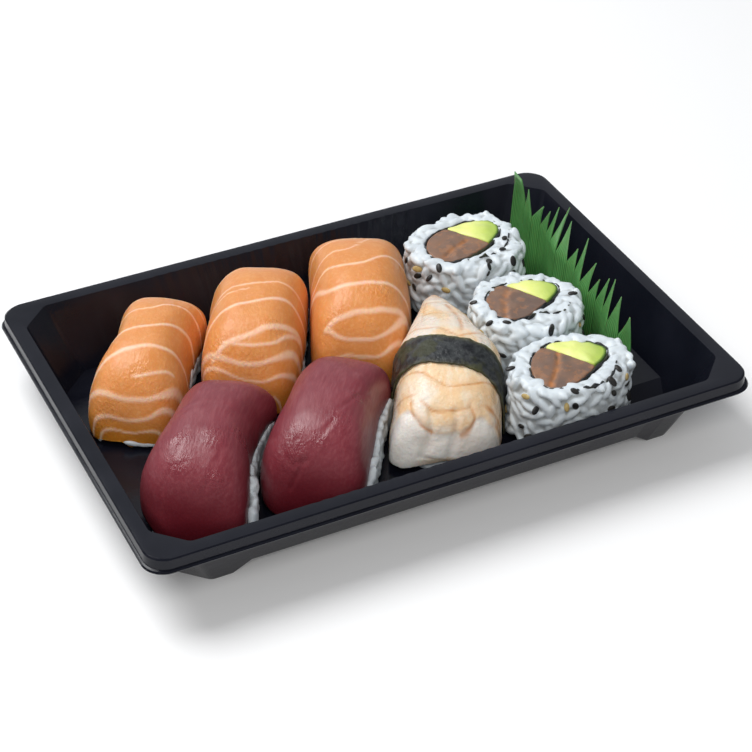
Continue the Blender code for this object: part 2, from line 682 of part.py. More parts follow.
def tree_of(item, grow=None):
    mesh = bmesh.new()
    mesh.from_mesh(item.data)
    if grow:
        middle = sum((vertex.co for vertex in mesh.verts), Vector()) / len(mesh.verts)
        bmesh.ops.scale(mesh, vec=(grow, grow, grow), space=Matrix.Translation(-middle), verts=mesh.verts)
    tree = BVHTree.FromBMesh(mesh)
    mesh.free()
    return tree


def drop_loose_scraps(item):
    """Keep only the largest connected body of a mesh."""
    mesh = bmesh.new()
    mesh.from_mesh(item.data)
    waiting = set(mesh.verts)
    bodies = []
    while waiting:
        body = set()
        edge_of_body = [waiting.pop()]
        while edge_of_body:
            vertex = edge_of_body.pop()
            body.add(vertex)
            for edge in vertex.link_edges:
                other = edge.other_vert(vertex)
                if other in waiting:
                    waiting.remove(other)
                    edge_of_body.append(other)
        bodies.append(body)
    bodies.sort(key=len)
    loose = [vertex for body in bodies[:-1] for vertex in body]
    bmesh.ops.delete(mesh, geom=loose, context="VERTS")
    mesh.to_mesh(item.data)
    mesh.free()


def fuse_grains(core, spots, neighbours, scrap):
    """Join the grains that touch nothing but their own core and each other's outside."""
    kept = []
    taken = []
    for size, place, turn in spots:
        if any((place - other).length < size.x * 0.62 for other in taken):
            continue
        grain = ellipsoid("grain", size, place, turn, scrap)
        room = tree_of(grain, grow=1.25)
        if any(room.overlap(tree) for tree in neighbours):
            bpy.data.objects.remove(grain, do_unlink=True)
            continue
        kept.append(grain)
        taken.append(place)
    boolean(core, "UNION", kept)
    drop_loose_scraps(core)
    smooth_mesh(core)


def roll_spots(form, hole, outer, count, draw):
    """Places for grains and seeds over a roll's cut face and round its side."""
    top = FOOD_LEVEL + ROLL_HEIGHT
    spots = []
    for index in range(count):
        fraction = (index + draw.random()) / count
        place_on = int(fraction * ROLL_POINTS) % ROLL_POINTS
        inner_point = hole[place_on]
        outer_point = outer(-1.2 * MM)[place_on]
        heading = draw.uniform(0.0, math.pi)
        if index % 5 < 3:
            share = draw.uniform(0.35, 0.85)
            spot = inner_point.lerp(outer_point, share)
            place = Vector((spot.x, spot.y, top - 0.25 * MM))
            turn = Euler((draw.uniform(-0.15, 0.15), draw.uniform(-0.15, 0.15), heading))
        else:
            side = outer(0.1 * MM)[place_on]
            facing = math.atan2(side.y - inner_point.y, side.x - inner_point.x)
            place = Vector((side.x, side.y, FOOD_LEVEL + ROLL_HEIGHT * draw.uniform(0.3, 0.88)))
            turn = Euler((draw.uniform(-0.6, 0.6), 0.0, facing + math.pi / 2))
        size = SEED_SIZE if index % 4 == 1 else GRAIN_SIZE
        spots.append((size, place, turn))
    return spots


def flank_spots(form, side, shares, draw):
    """Places for grains along the left (0) or right (1) foot of a nigiri, under its slice."""
    place, half_length = placed(form["near"], form["far"])
    along = math.atan2(form["far"][1] - form["near"][1], form["far"][0] - form["near"][0])
    spots = []
    for share in shares:
        section = slice_section(form, half_length, share, 0.0)
        height = section["edges"][side] * draw.uniform(0.3, 0.65)
        across = (1 if side else -1) * (rice_feet(section)[side] - 0.6 * MM)
        turn = Euler((0.0, draw.uniform(-0.5, 0.5), along))
        spots.append((GRAIN_SIZE, place(across, section["along"], height), turn))
    return spots


def main():
    clear_scene()
    collection = new_collection("takeaway_sushi_tray")
    scrap = new_collection("scrap")
    build_tray(collection, scrap)
    nigiri_rice = {name: build_nigiri(name, form, collection) for name, form in NIGIRI.items()}
    prawn_rice = build_prawn(collection)
    rolls = [build_roll(number, form, collection) for number, form in enumerate(ROLLS, start=1)]
    build_grass(collection)

    trees = {item.name: tree_of(item) for item in collection.objects}

    def others(core):
        return [tree for name, tree in trees.items() if name != core.name]

    draw = random.Random(41)
    steps = [-0.75 + 1.5 * index / 8 for index in range(9)]
    for name in ("tuna_1", "tuna_2"):
        core = nigiri_rice[name]
        fuse_grains(core, flank_spots(NIGIRI[name], 1, steps, draw), others(core), scrap)
        trees[core.name] = tree_of(core)
    for form, (core, hole, outer) in zip(ROLLS, rolls):
        fuse_grains(core, roll_spots(form, hole, outer, 40, draw), others(core), scrap)
        trees[core.name] = tree_of(core)
    bpy.data.collections.remove(scrap)
    return prawn_rice


main()
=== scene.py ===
"""Looks of the takeaway sushi tray: glossy black tray, salmon, tuna and prawn nigiri, inside-out
rolls and a strip of plastic grass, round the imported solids. Lengths are in metres."""

import math
import random

import bmesh
import bpy
import numpy as np
from mathutils import Euler, Matrix, Vector, noise
from mathutils.bvhtree import BVHTree


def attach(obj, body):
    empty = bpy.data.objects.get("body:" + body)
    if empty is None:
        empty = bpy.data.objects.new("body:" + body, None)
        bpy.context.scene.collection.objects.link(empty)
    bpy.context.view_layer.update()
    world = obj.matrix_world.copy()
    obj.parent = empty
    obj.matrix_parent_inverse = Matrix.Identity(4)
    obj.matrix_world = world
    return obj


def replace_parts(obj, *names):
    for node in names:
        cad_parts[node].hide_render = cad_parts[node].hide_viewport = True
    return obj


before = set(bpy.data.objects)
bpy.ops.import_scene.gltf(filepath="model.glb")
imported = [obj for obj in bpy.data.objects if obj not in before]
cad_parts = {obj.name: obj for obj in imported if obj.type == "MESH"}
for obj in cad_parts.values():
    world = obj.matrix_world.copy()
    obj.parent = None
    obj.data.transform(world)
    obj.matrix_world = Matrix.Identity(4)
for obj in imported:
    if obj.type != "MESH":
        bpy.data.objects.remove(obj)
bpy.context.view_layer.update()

# Tray. One sheet of gloss black plastic, drawn over a mould while hot and then trimmed: a flat
# rim with a skirt and a rolled lip, long walls with fine upright flutes, a floor and four foot
# pockets pressed down at its corners.

MM = 0.001
RIM_LENGTH = 188.0 * MM
RIM_WIDTH = 129.2 * MM
RIM_FLAT = 4.4 * MM
TRAY_HEIGHT = 23.0 * MM
SHEET = 0.8 * MM
FLOOR_TOP = 5.1 * MM
WALL_DRAFT = 0.355
OPENING_CUT = 9.0 * MM
OPENING_RADIUS = 3.0 * MM
RIM_CUT = 3.8 * MM
RIM_RADIUS = 6.4 * MM
# the rim's section: how far outside the opening, and how far below its top, in millimetres
RIM_SECTION = ((-1.5, 0.0), (4.1, 0.0), (4.4, 0.4), (4.6, 3.3), (5.1, 3.4), (5.4, 3.9), (5.1, 4.4),
               (4.4, 4.4), (3.9, 3.6), (3.6, 0.8), (-1.5, 0.8))
FOOT_START_X = 62.5 * MM
FOOT_START_Y = 33.5 * MM
FOOT_SLOPE = 1.2
FLUTE_PITCH = 4.2 * MM
FLUTE_DEPTH = 0.22 * MM
FLUTED_HALF_LENGTH = 48.0 * MM
POINTS_ALONG_WALL = 240
EDGE_ROUNDING = 0.3 * MM


def in_scene(name, data):
    """A new object of the scene, from a mesh, a light or a camera."""
    item = bpy.data.objects.new(name, data)
    bpy.context.scene.collection.objects.link(item)
    return item


def mesh_piece(name, points, faces, material):
    """A named, smooth-shaded object from points and faces."""
    data = bpy.data.meshes.new(name)
    data.from_pydata([tuple(point) for point in points], [], [tuple(face) for face in faces])
    mesh = bmesh.new()
    mesh.from_mesh(data)
    bmesh.ops.recalc_face_normals(mesh, faces=mesh.faces)
    mesh.to_mesh(data)
    mesh.free()
    data.shade_smooth()
    data.materials.append(material)
    return in_scene(name, data)


def closed_skin(rows, ring=False):
    """Points and faces of a skin round rows of points, its ends filled or joined in a ring."""
    index = np.arange(rows.shape[0] * rows.shape[1]).reshape(rows.shape[:2])
    lower, upper = (index, np.roll(index, -1, axis=0)) if ring else (index[:-1], index[1:])
    faces = np.stack([lower, np.roll(lower, -1, axis=1), np.roll(upper, -1, axis=1), upper], -1)
    faces = faces.reshape(-1, 4).tolist()
    if not ring:
        faces += [index[0].tolist(), index[-1].tolist()]
    return rows.reshape(-1, 3), faces


def tray_outline(half_x, half_y, cut, radius, steps=8):
    """A rectangle with chamfered, rounded corners and many points along its two long sides."""
    corners = []
    for sign_x, sign_y, first_along_y in ((1, 1, True), (-1, 1, False), (-1, -1, True), (1, -1, False)):
        on_side = (sign_x * half_x, sign_y * (half_y - cut))
        on_end = (sign_x * (half_x - cut), sign_y * half_y)
        corners += [on_side, on_end] if first_along_y else [on_end, on_side]
    tangent = radius * math.tan(math.radians(22.5))
    outline = []
    for index, corner in enumerate(corners):
        here = Vector(corner)
        before = (Vector(corners[index - 1]) - here).normalized()
        start = here + before * tangent
        middle = start + Vector((before.y, -before.x)) * radius
        for step in range(steps):
            turn = math.radians(45.0 * step / (steps - 1))
            outline.append(middle + Matrix.Rotation(turn, 2) @ (start - middle))
        if index in (1, 5):
            last = outline[-1]
            far_x = -last.x
            for step in range(1, POINTS_ALONG_WALL):
                outline.append(Vector((last.x + (far_x - last.x) * step / POINTS_ALONG_WALL, last.y)))
    return outline


def tray_loop(offset, height, flutes=0.0):
    """The tray's outline at an offset outside the opening's edge, with fluted long sides."""
    across_rim = min(1.0, max(0.0, offset / RIM_FLAT))
    outline = tray_outline(RIM_LENGTH / 2 - RIM_FLAT + offset, RIM_WIDTH / 2 - RIM_FLAT + offset,
                           OPENING_CUT + (RIM_CUT - OPENING_CUT) * across_rim,
                           OPENING_RADIUS + (RIM_RADIUS - OPENING_RADIUS) * across_rim)
    loop = []
    for point in outline:
        y = point.y
        if flutes and abs(point.x) < FLUTED_HALF_LENGTH and abs(y) > RIM_WIDTH / 4:
            wave = 0.5 - 0.5 * math.cos(math.tau * point.x / FLUTE_PITCH)
            fade = min(1.0, (FLUTED_HALF_LENGTH - abs(point.x)) / FLUTE_PITCH)
            y += math.copysign(flutes * wave * fade, y)
        loop.append((point.x, y, height))
    return loop


def loft(name, loops, ring=False):
    """A closed piece from loops of equal length, its ends filled or joined in a ring."""
    return mesh_piece(name, *closed_skin(np.array(loops), ring), black_plastic)


def combine(target, operation, others):
    """Apply a Boolean with each of the other objects and remove them."""
    for other in others:
        modifier = target.modifiers.new("Boolean", "BOOLEAN")
        modifier.operation = operation
        modifier.object = other
        modifier.solver = "EXACT"
        settle(target)
        bpy.data.objects.remove(other, do_unlink=True)


def settle(piece):
    """Turn a piece's modifiers into its mesh."""
    evaluated = piece.evaluated_get(bpy.context.evaluated_depsgraph_get())
    data = bpy.data.meshes.new_from_object(evaluated)
    piece.modifiers.clear()
    piece.data = data


def tub(name, low, high, outward, flutes=0.0):
    return loft(name, [tray_loop((height - TRAY_HEIGHT) * WALL_DRAFT + outward, height, flutes)
                       for height in (low, high)])


def floor_bars(top, outward):
    """Two crossed bars that leave only the four foot pockets below the floor."""
    bars = []
    for along_x in (True, False):
        loops = []
        for height in (-1.0 * MM, top):
            spread = (top - height) * FOOT_SLOPE - outward
            half_x = RIM_LENGTH if along_x else FOOT_START_X + spread
            half_y = FOOT_START_Y + spread if along_x else RIM_LENGTH
            loops.append([(half_x, half_y, height), (-half_x, half_y, height),
                          (-half_x, -half_y, height), (half_x, -half_y, height)])
        bars.append(loft("floor_bar", loops))
    return bars


def rim_ring():
    """The flat rim, its skirt and the rolled lip, as one closed ring."""
    loops = [tray_loop(offset * MM, TRAY_HEIGHT - drop * MM) for offset, drop in RIM_SECTION]
    return loft("rim", loops, ring=True)


def add_node(kind, **values):
    """A new node in the tree that is being built, with its named inputs set."""
    node = tree.nodes.new("ShaderNode" + kind)
    for key, value in values.items():
        node.inputs[key.replace("_", " ")].default_value = value
    return node


def feed(source, target):
    tree.links.new(source, target)


def set_input(socket, value):
    """Feed an input from a socket, or give it a number or a colour."""
    if isinstance(value, bpy.types.NodeSocket):
        feed(value, socket)
    elif isinstance(value, float):
        socket.default_value = value
    else:
        socket.default_value = (*value, 1.0)


def calculated(operation, *values):
    """The socket of a sum, product or the like of sockets and numbers."""
    node = add_node("Math")
    node.operation = operation
    for socket, value in zip(node.inputs, values):
        set_input(socket, value)
    return node.outputs[0]


def mixed(mask, first, second):
    """The colour socket of a mix of two colours or sockets by a mask."""
    node = add_node("Mix")
    node.data_type = "RGBA"
    for number, value in ((0, mask), (6, first), (7, second)):
        set_input(node.inputs[number], value)
    return node.outputs[2]


def stretched(source, low, high, to_low=0.0, to_high=1.0):
    """The socket of a value moved from one range to another."""
    node = add_node("MapRange", From_Min=low, From_Max=high, To_Min=to_low, To_Max=to_high)
    feed(source, node.inputs["Value"])
    return node.outputs["Result"]


def new_group(name, output, **inputs):
    """A shader node group with a vector and float inputs and one float output, and its two ends."""
    group = bpy.data.node_groups.new(name, "ShaderNodeTree")
    group.interface.new_socket("Vector", in_out="INPUT", socket_type="NodeSocketVector")
    for key, value in inputs.items():
        socket = group.interface.new_socket(key, in_out="INPUT", socket_type="NodeSocketFloat")
        socket.default_value = value
    group.interface.new_socket(output, in_out="OUTPUT", socket_type="NodeSocketFloat")
    return group, group.nodes.new("NodeGroupInput"), group.nodes.new("NodeGroupOutput")


# how unevenly a surface is coloured or worn: soft noise spread to a mask
tree, given, result = new_group("mottle", "Mask", Scale=200.0, Contrast=0.5)
mottle = tree
coarse = add_node("TexNoise", Detail=3.0, Roughness=0.55)
feed(given.outputs["Vector"], coarse.inputs["Vector"])
feed(given.outputs["Scale"], coarse.inputs["Scale"])
centred = calculated("SUBTRACT", coarse.outputs["Fac"], 0.5)
spread = calculated("MULTIPLY_ADD", centred, calculated("MULTIPLY", given.outputs["Contrast"], 6.0), 0.5)
spread.node.use_clamp = True
feed(spread, result.inputs["Mask"])


def place_group(group, **values):
    """A group placed in the material on the piece's own coordinates; returns its output."""
    node = add_node("Group")
    node.node_tree = group
    feed(coordinates, node.inputs["Vector"])
    for key, value in values.items():
        set_input(node.inputs[key], value)
    return node.outputs[0]


def start_material(name, **values):
    """A material, its node tree, its Principled shader and the piece's own coordinates."""
    material = bpy.data.materials.new(name)
    material.use_nodes = True
    shader = material.node_tree.nodes["Principled BSDF"]
    for key, value in values.items():
        shader.inputs[key.replace("_", " ")].default_value = value
    coordinates = material.node_tree.nodes.new("ShaderNodeTexCoord").outputs["Object"]
    return material, material.node_tree, shader, coordinates


def paint(colour):
    feed(colour, shader.inputs["Base Color"])


def vary(key, mask, low, high, start=0.0, end=1.0):
    """Let a mask move one of the shader's values between two ends."""
    feed(stretched(mask, start, end, low, high), shader.inputs[key])


def add_bump(height, distance, strength=1.0):
    bump = add_node("Bump", Strength=strength, Distance=distance)
    feed(height, bump.inputs["Height"])
    feed(bump.outputs["Normal"], shader.inputs["Normal"])


black_plastic, tree, shader, coordinates = start_material("black_plastic", Specular_IOR_Level=0.28)
smudges = place_group(mottle, Scale=45.0, Contrast=0.6)
grime = place_group(mottle, Scale=420.0, Contrast=0.35)
paint(mixed(smudges, (0.0050, 0.0056, 0.0105), (0.0078, 0.0086, 0.0150)))
vary("Roughness", smudges, 0.16, 0.27)
add_bump(grime, 0.00002)

tray = tub("black_tray", 0.0, TRAY_HEIGHT - SHEET / 2, SHEET)
combine(tray, "DIFFERENCE", floor_bars(FLOOR_TOP - SHEET, SHEET))
combine(tray, "UNION", [rim_ring()])
inner_tub = tub("inner_tub", SHEET, TRAY_HEIGHT + 1.0 * MM, 0.0, FLUTE_DEPTH)
combine(inner_tub, "DIFFERENCE", floor_bars(FLOOR_TOP, 0.0))
combine(tray, "DIFFERENCE", [inner_tub])
tray.data.materials.clear()
tray.data.materials.append(black_plastic)
rounding = tray.modifiers.new("Bevel", "BEVEL")
rounding.width = EDGE_ROUNDING
rounding.segments = 3
rounding.limit_method = "ANGLE"
rounding.angle_limit = math.radians(28.0)
settle(tray)
tray.data.shade_smooth()
tray.data.set_sharp_from_angle(angle=math.radians(35.0))
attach(tray, "root")
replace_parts(tray, "tray")

# Salmon nigiri. Three slices cut from a side of raw salmon, each draped and pressed over a ball
# of rice, so the white lines of fat that run across a slice bend down over its ends. The flesh
# is moist and lets some light in; its lower parts are painted a darker amber, as painted shade
# and as the painted amber of light let through its thin lower edges.

GAP = 0.35 * MM
FOOD_LEVEL = FLOOR_TOP + GAP
SLICE_THICKNESS = 4.4 * MM
SLICE_STATIONS = 150
SLICE_POINTS_OVER = 120
SLICE_POINTS_UNDER = 20
# half widths to the left and right at five even places from the near to the far end, how high
# each side hangs above the floor at its near and far end, how boxy the two far corners are, and
# how far the rice stands out past each side at its near and far end
SALMON = {
    "salmon_1": dict(near=(-74.8, 4.6), far=(-45.9, 50.2), height=25.8,
                     left=(14.6, 14.4, 10.6, 11.8, 13.0), right=(15.0, 14.0, 12.8, 13.8, 17.0),
                     left_edge=(2.0, 3.0), right_edge=(2.0, 8.0), square=(0.0, 1.0), lift=1.8,
                     left_rice=(-0.5, -0.5), right_rice=(-0.5, -0.5)),
    "salmon_2": dict(near=(-38.2, 3.2), far=(-13.0, 50.4), height=27.2,
                     left=(15.0, 15.2, 14.8, 14.8, 13.6), right=(15.0, 15.2, 15.4, 15.4, 17.0),
                     left_edge=(2.0, 2.0), right_edge=(2.0, 8.0), square=(0.0, 1.0),
                     left_rice=(-0.5, -0.5), right_rice=(-0.5, -0.5)),
    "salmon_3": dict(near=(-2.6, -0.2), far=(20.8, 50.6), height=28.4,
                     left=(14.6, 15.4, 15.2, 15.6, 18.0), right=(15.0, 15.6, 16.0, 15.1, 15.6),
                     left_edge=(2.0, 9.0), right_edge=(3.0, 6.0), square=(1.0, 1.0),
                     left_rice=(-0.5, -0.5), right_rice=(-0.5, -0.5)),
}
# each line of fat: its width, then its places across the slice and along its ridge from the
# middle, in millimetres
FAT_LINES = {
    "salmon_1": (
        (0.9, (-18, 22), (-6, 24), (6, 27), (18, 28)), (1.0, (-18, 12), (-6, 15), (6, 19), (18, 19)),
        (1.2, (-18, 1), (-8, 6), (0, 8), (6, 12), (18, 15)),
        (1.5, (-18, -13), (-8, -5), (-3, -2.5), (3, -0.5), (9, 3), (18, 10)),
        (2.0, (-18, -20), (-8, -14), (-2, -11.5), (4, -10), (9, -8.5), (18, -3)),
        (1.2, (1, -21), (5, -19.5), (11, -15.5)),
        (1.8, (-18, -17), (-10, -23.5), (-4.5, -27), (1.5, -27.5), (7, -26), (12, -19.5), (18, -6)),
        (1.4, (-18, -25), (-7.5, -31.5), (-1.5, -34), (4.5, -33), (9, -28.5), (18, -17)),
        (1.0, (-12, -33), (0, -38.5), (11, -33)),
    ),
    "salmon_2": (
        (0.9, (-18, 20), (-6, 24), (6, 27), (18, 27)), (1.0, (-18, 9), (-6, 15), (6, 18), (18, 20)),
        (1.1, (-18, -5), (-8, 2), (-1, 3.5), (8, 6), (18, 7)),
        (0.8, (-18, -8), (-9, -1), (-1, 1)),
        (1.8, (-18, -16), (-10.5, -9.5), (-4.5, -7), (3, -4.5), (10, -1), (18, 1)),
        (2.2, (-10, -23), (-6, -20.5), (-1, -19), (4, -16), (10.5, -12), (18, -4)),
        (1.2, (-7, -20), (-1, -21.5), (4, -21), (9, -18), (15, -8)),
        (1.7, (-18, -12), (-12, -20), (-5, -26), (2.5, -27), (8, -24), (12.5, -18.5), (18, -9)),
        (1.0, (-18, -16), (-12, -23.5), (-6.5, -29), (-2, -31.5), (4.5, -32), (11, -26), (18, -14)),
        (0.9, (-10, -34), (0, -38.5), (10, -34)),
    ),
    "salmon_3": (
        (1.0, (-18, 24), (-6, 26), (6, 31), (18, 31)), (1.0, (-18, 14), (-6, 16), (6, 21), (18, 24)),
        (1.0, (-18, 3), (-9, 7), (-2.5, 8), (5.5, 19), (12, 23)),
        (1.4, (-18, -3), (-11, -0.5), (-6, -1.5), (1, -1), (8, 4.5), (18, 10)),
        (2.0, (-18, -2), (-14, -4.5), (-10.5, -10), (-6, -11), (0, -10.5), (8, -9), (18, -6)),
        (2.2, (-10, -23), (-6, -22), (-1.5, -21), (4.5, -20), (10.5, -17.5), (14.5, -14), (15, -15)),
        (1.4, (-10, -23), (-6, -28), (-1.5, -29), (4.5, -28.5), (9.5, -24), (14.5, -14)),
        (1.2, (-9, -33), (-3, -34), (1.5, -34.5), (6.5, -33), (12, -25), (18, -15)),
        (0.9, (-10, -37), (0, -41), (10, -38)),
    ),
}
# places where the moist skin is drawn into fine wrinkles: across, along, and how far they reach
SALMON_WRINKLES = {
    "salmon_1": ((-7, -31, 6), (2, -20, 6), (6, -24, 5)),
    "salmon_2": ((-9, -22, 7), (1, -25, 6), (8, -14, 5)),
    "salmon_3": ((6, -12, 6), (-8, -22, 5), (3, -25, 4)),
}


def dome(fraction, fullness):
    """What is left of a size at a fraction of the way out: 1 in the middle, 0 at the end."""
    return np.maximum(0.0, 1.0 - np.abs(fraction) ** fullness) ** (1.0 / fullness)


def between(before, start, end, after, t):
    """The place at a share t from start to end on a smooth curve through four stops."""
    return 0.5 * (2 * start + (end - before) * t + (2 * before - 5 * start + 4 * end - after) * t ** 2
                  + (3 * start - before - 3 * end + after) * t ** 3)


def through(values, share):
    """The height at shares from -1 to 1 of a smooth curve through evenly spaced values."""
    padded = np.array([2 * values[0] - values[1], *values, 2 * values[-1] - values[-2]], float)
    spot = (np.asarray(share) + 1.0) / 2.0 * (len(values) - 1)
    low = np.clip(np.floor(spot).astype(int), 0, len(values) - 2)
    return between(*(padded[low + step] for step in range(4)), spot - low)


def slice_sizes(form, share, inset=0.0):
    """Half widths, edge heights, ridge height and fall of a slice at shares along it."""
    fall = np.where(share < 0, dome(share, 2.6), dome(share, 2.8))
    halves = [(through(form[side], share) * MM - inset) * dome(share, 4.6) for side in ("left", "right")]
    edges = [through(form[side], share) * MM * fall for side in ("left_edge", "right_edge")]
    return halves, edges, (form["height"] * MM - inset) * fall, fall


def arch(halves, edges, ridge, angle, square=(0.0, 0.0)):
    """Places across and up at angles from a piece's left edge over its ridge to its right edge."""
    left = angle < 0
    boxy = np.where(left, *square)
    edge = np.where(left, *edges)
    x = np.where(left, *halves) * np.sign(angle) * np.abs(np.sin(angle)) ** (0.72 - 0.14 * boxy)
    return x, edge + (ridge - edge) * np.maximum(0.0, np.cos(angle)) ** (0.8 - 0.35 * boxy)


def even_shares(stations):
    return np.sin(np.radians(np.linspace(-89.2, 89.2, stations)))


def slice_points(form, half_length, inset, stations, around):
    """Rows of points across a slice's surface, some way inside it, and its two end points."""
    share = even_shares(stations)[:, None]
    angle = np.radians(np.linspace(-90.0, 90.0, around))[None, :]
    halves, edges, ridge, _ = slice_sizes(form, share, inset)
    x, z = arch(halves, edges, ridge, angle, [np.maximum(0.0, share) * corner for corner in form["square"]])
    y = (half_length - inset) * share + 0.0 * angle
    ends = [(0.0, -(half_length - inset), 0.0), (0.0, half_length - inset, 0.0)]
    return np.stack([x, y, z], -1), ends


def way_along(rows):
    """Distance along the ridge from the middle for each row, in millimetres."""
    ridge = rows[:, rows.shape[1] // 2]
    steps = np.linalg.norm(np.diff(ridge, axis=0), axis=1)
    distance = np.concatenate([[0.0], np.cumsum(steps)]) / MM
    return distance - distance[len(distance) // 2]


def smooth_course(stops, steps=12):
    """A curve through a few stops, as many short steps."""
    stops = [np.array(stop, float) for stop in stops]
    padded = [2 * stops[0] - stops[1]] + stops + [2 * stops[-1] - stops[-2]]
    course = []
    for four in zip(padded, padded[1:], padded[2:], padded[3:]):
        course += [between(*four, step / steps) for step in range(steps)]
    return np.array([*course, stops[-1]])


def near_line(x, y, course):
    """Each point's distance from a line of short steps."""
    nearest = np.full(x.shape, 1e9)
    for start, end in zip(course, course[1:]):
        step = end - start
        length = max(1e-9, float(step @ step))
        share = np.clip(((x - start[0]) * step[0] + (y - start[1]) * step[1]) / length, 0.0, 1.0)
        gap = np.hypot(x - start[0] - share * step[0], y - start[1] - share * step[1])
        nearest = np.minimum(nearest, gap)
    return nearest


def soft_step(value, low, high):
    share = np.clip((value - low) / (high - low), 0.0, 1.0)
    return share * share * (3.0 - 2.0 * share)


def lumps(points, size, seed):
    """Smooth noise at each point, between about -1 and 1."""
    shift = Vector((seed * 13.7, seed * 7.1, seed * 3.3))
    flat = points.reshape(-1, 3) / size
    values = [noise.noise(Vector(point) + shift) for point in flat]
    return np.array(values).reshape(points.shape[:-1])


def patches(x, y, spots):
    """A soft mask that is 1 at the middle of round spots of place and reach."""
    mask = np.zeros(x.shape)
    for spot_x, spot_y, reach in spots:
        mask = np.maximum(mask, np.exp(-((x - spot_x) ** 2 + (y - spot_y) ** 2) / (0.6 * reach ** 2)))
    return mask


def pushed_out(rows, relief):
    """Rows of points moved outward by a relief in millimetres."""
    normal = np.cross(np.gradient(rows, axis=1), np.gradient(rows, axis=0))
    normal /= np.maximum(1e-12, np.linalg.norm(normal, axis=-1, keepdims=True))
    return rows + normal * (relief * MM)[..., None]


def set_mask(piece, key, values):
    """Keep a value for each of a piece's first points, and zero for the rest."""
    full = np.zeros(len(piece.data.vertices), np.float32)
    full[:values.size] = np.clip(values, 0.0, 1.0).ravel()
    piece.data.attributes.new(key, "FLOAT", "POINT").data.foreach_set("value", full)


def draped_piece(name, outer, inner, outer_ends, inner_ends, material, masks):
    """A closed sheet between two surfaces of rows; masks are values at each outer point."""
    points = []
    faces = []
    lines = []
    for rows, ends in ((outer, outer_ends), (inner, inner_ends)):
        stations, around = rows.shape[:2]
        index = len(points) + np.arange(stations * around).reshape(stations, around)
        points += [*rows.reshape(-1, 3), *ends]
        first, last = len(points) - 2, len(points) - 1
        quads = np.stack([index[:-1, :-1], index[:-1, 1:], index[1:, 1:], index[1:, :-1]], -1)
        faces += quads.reshape(-1, 4).tolist()
        for row, end in ((index[0].tolist(), first), (index[-1].tolist(), last)):
            faces += [(here, after, end) for here, after in zip(row, row[1:])]
        lines.append([[first, *index[:, side].tolist(), last] for side in (0, -1)])
    for outer_line, inner_line in zip(*lines):
        faces += zip(outer_line, outer_line[1:], inner_line[1:], inner_line)
    piece = mesh_piece(name, points, faces, material)
    for key, values in masks.items():
        set_mask(piece, key, values)
    return piece


def stand_on_line(piece, near, far, from_near=False):
    """Put a piece made across X and along Y on the line between two places on the floor."""
    near = Vector(near) * MM
    far = Vector(far) * MM
    along = far - near
    origin = near if from_near else (near + far) / 2
    piece.location = (origin.x, origin.y, FOOD_LEVEL)
    piece.rotation_euler = (0.0, 0.0, math.atan2(along.y, along.x) - math.pi / 2)


# the skin of moisture on cut fish: small wrinkles, given as a height
tree, given, result = new_group("wet_skin", "Height", Scale=900.0, Stretch=1.0, Amount=1.0)
wet_skin = tree
squeeze = add_node("CombineXYZ", X=1.0, Z=1.0)
feed(given.outputs["Stretch"], squeeze.inputs["Y"])
drawn = add_node("VectorMath")
drawn.operation = "MULTIPLY"
feed(given.outputs["Vector"], drawn.inputs[0])
feed(squeeze.outputs["Vector"], drawn.inputs[1])
wrinkle = add_node("TexNoise", Detail=4.0, Roughness=0.6)
feed(drawn.outputs["Vector"], wrinkle.inputs["Vector"])
feed(given.outputs["Scale"], wrinkle.inputs["Scale"])
feed(calculated("MULTIPLY", wrinkle.outputs["Fac"], given.outputs["Amount"]), result.inputs["Height"])


def mask_value(name):
    node = add_node("Attribute")
    node.attribute_name = name
    return node.outputs["Fac"]


salmon_flesh, tree, shader, coordinates = start_material(
    "salmon_flesh", Subsurface_Weight=0.4, Subsurface_Scale=0.003, Specular_IOR_Level=0.5,
    Coat_Roughness=0.2, Coat_IOR=1.36, Subsurface_Radius=(1.0, 0.42, 0.12))
fat = mask_value("fat")
low = mask_value("low")
drawn_up = mask_value("wrinkled")
uneven = place_group(mottle, Scale=130.0, Contrast=0.45)
fine = place_group(mottle, Scale=900.0, Contrast=0.6)
flesh = mixed(uneven, (0.70, 0.258, 0.064), (0.755, 0.313, 0.098))
flesh = mixed(stretched(fine, 0.5, 1.0, 0.0, 0.25), flesh, (0.84, 0.44, 0.20))
# painted shade: the lower parts are painted a darker amber, which also stands for light let through the thin
# edges
flesh = mixed(low, flesh, (0.60, 0.215, 0.014))
flesh = mixed(fat, flesh, (0.92, 0.60, 0.42))
paint(flesh)
vary("Roughness", drawn_up, 0.40, 0.20)
vary("Coat Weight", uneven, 0.0, 0.12)
amount = stretched(drawn_up, 0.0, 1.0, 1.0, 2.4)
moisture = place_group(wet_skin, Scale=1000.0, Stretch=0.6, Amount=amount)
add_bump(moisture, 0.00026, 0.8)


def fish_slice(name, form, material, seed, masks_of):
    """A slice with uneven thickness over its own stretch of rice."""
    half_length = math.dist(form["near"], form["far"]) * MM / 2
    outer, outer_ends = slice_points(form, half_length, 0.0, SLICE_STATIONS, SLICE_POINTS_OVER)
    inner, inner_ends = slice_points(form, half_length, SLICE_THICKNESS, SLICE_STATIONS, SLICE_POINTS_UNDER)
    way = way_along(outer)[:, None] + 0.0 * outer[..., 0]
    masks, relief = masks_of(outer, outer[..., 0] / MM, way)
    relief = relief + 0.42 * lumps(outer, 11 * MM, seed) + 0.12 * lumps(outer, 4 * MM, seed + 5)
    relief += 0.09 * masks["wrinkled"] * lumps(outer * (1.0, 0.6, 1.0), 0.9 * MM, seed + 9)
    outer = pushed_out(outer, relief)
    outer[..., 2] = np.maximum(outer[..., 2], form.get("lift", 0.0) * MM * soft_step(-way, 30.0, 34.0))
    piece = draped_piece(name, outer, inner, outer_ends, inner_ends, material, masks)
    stand_on_line(piece, form["near"], form["far"])
    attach(piece, "root")
    return piece


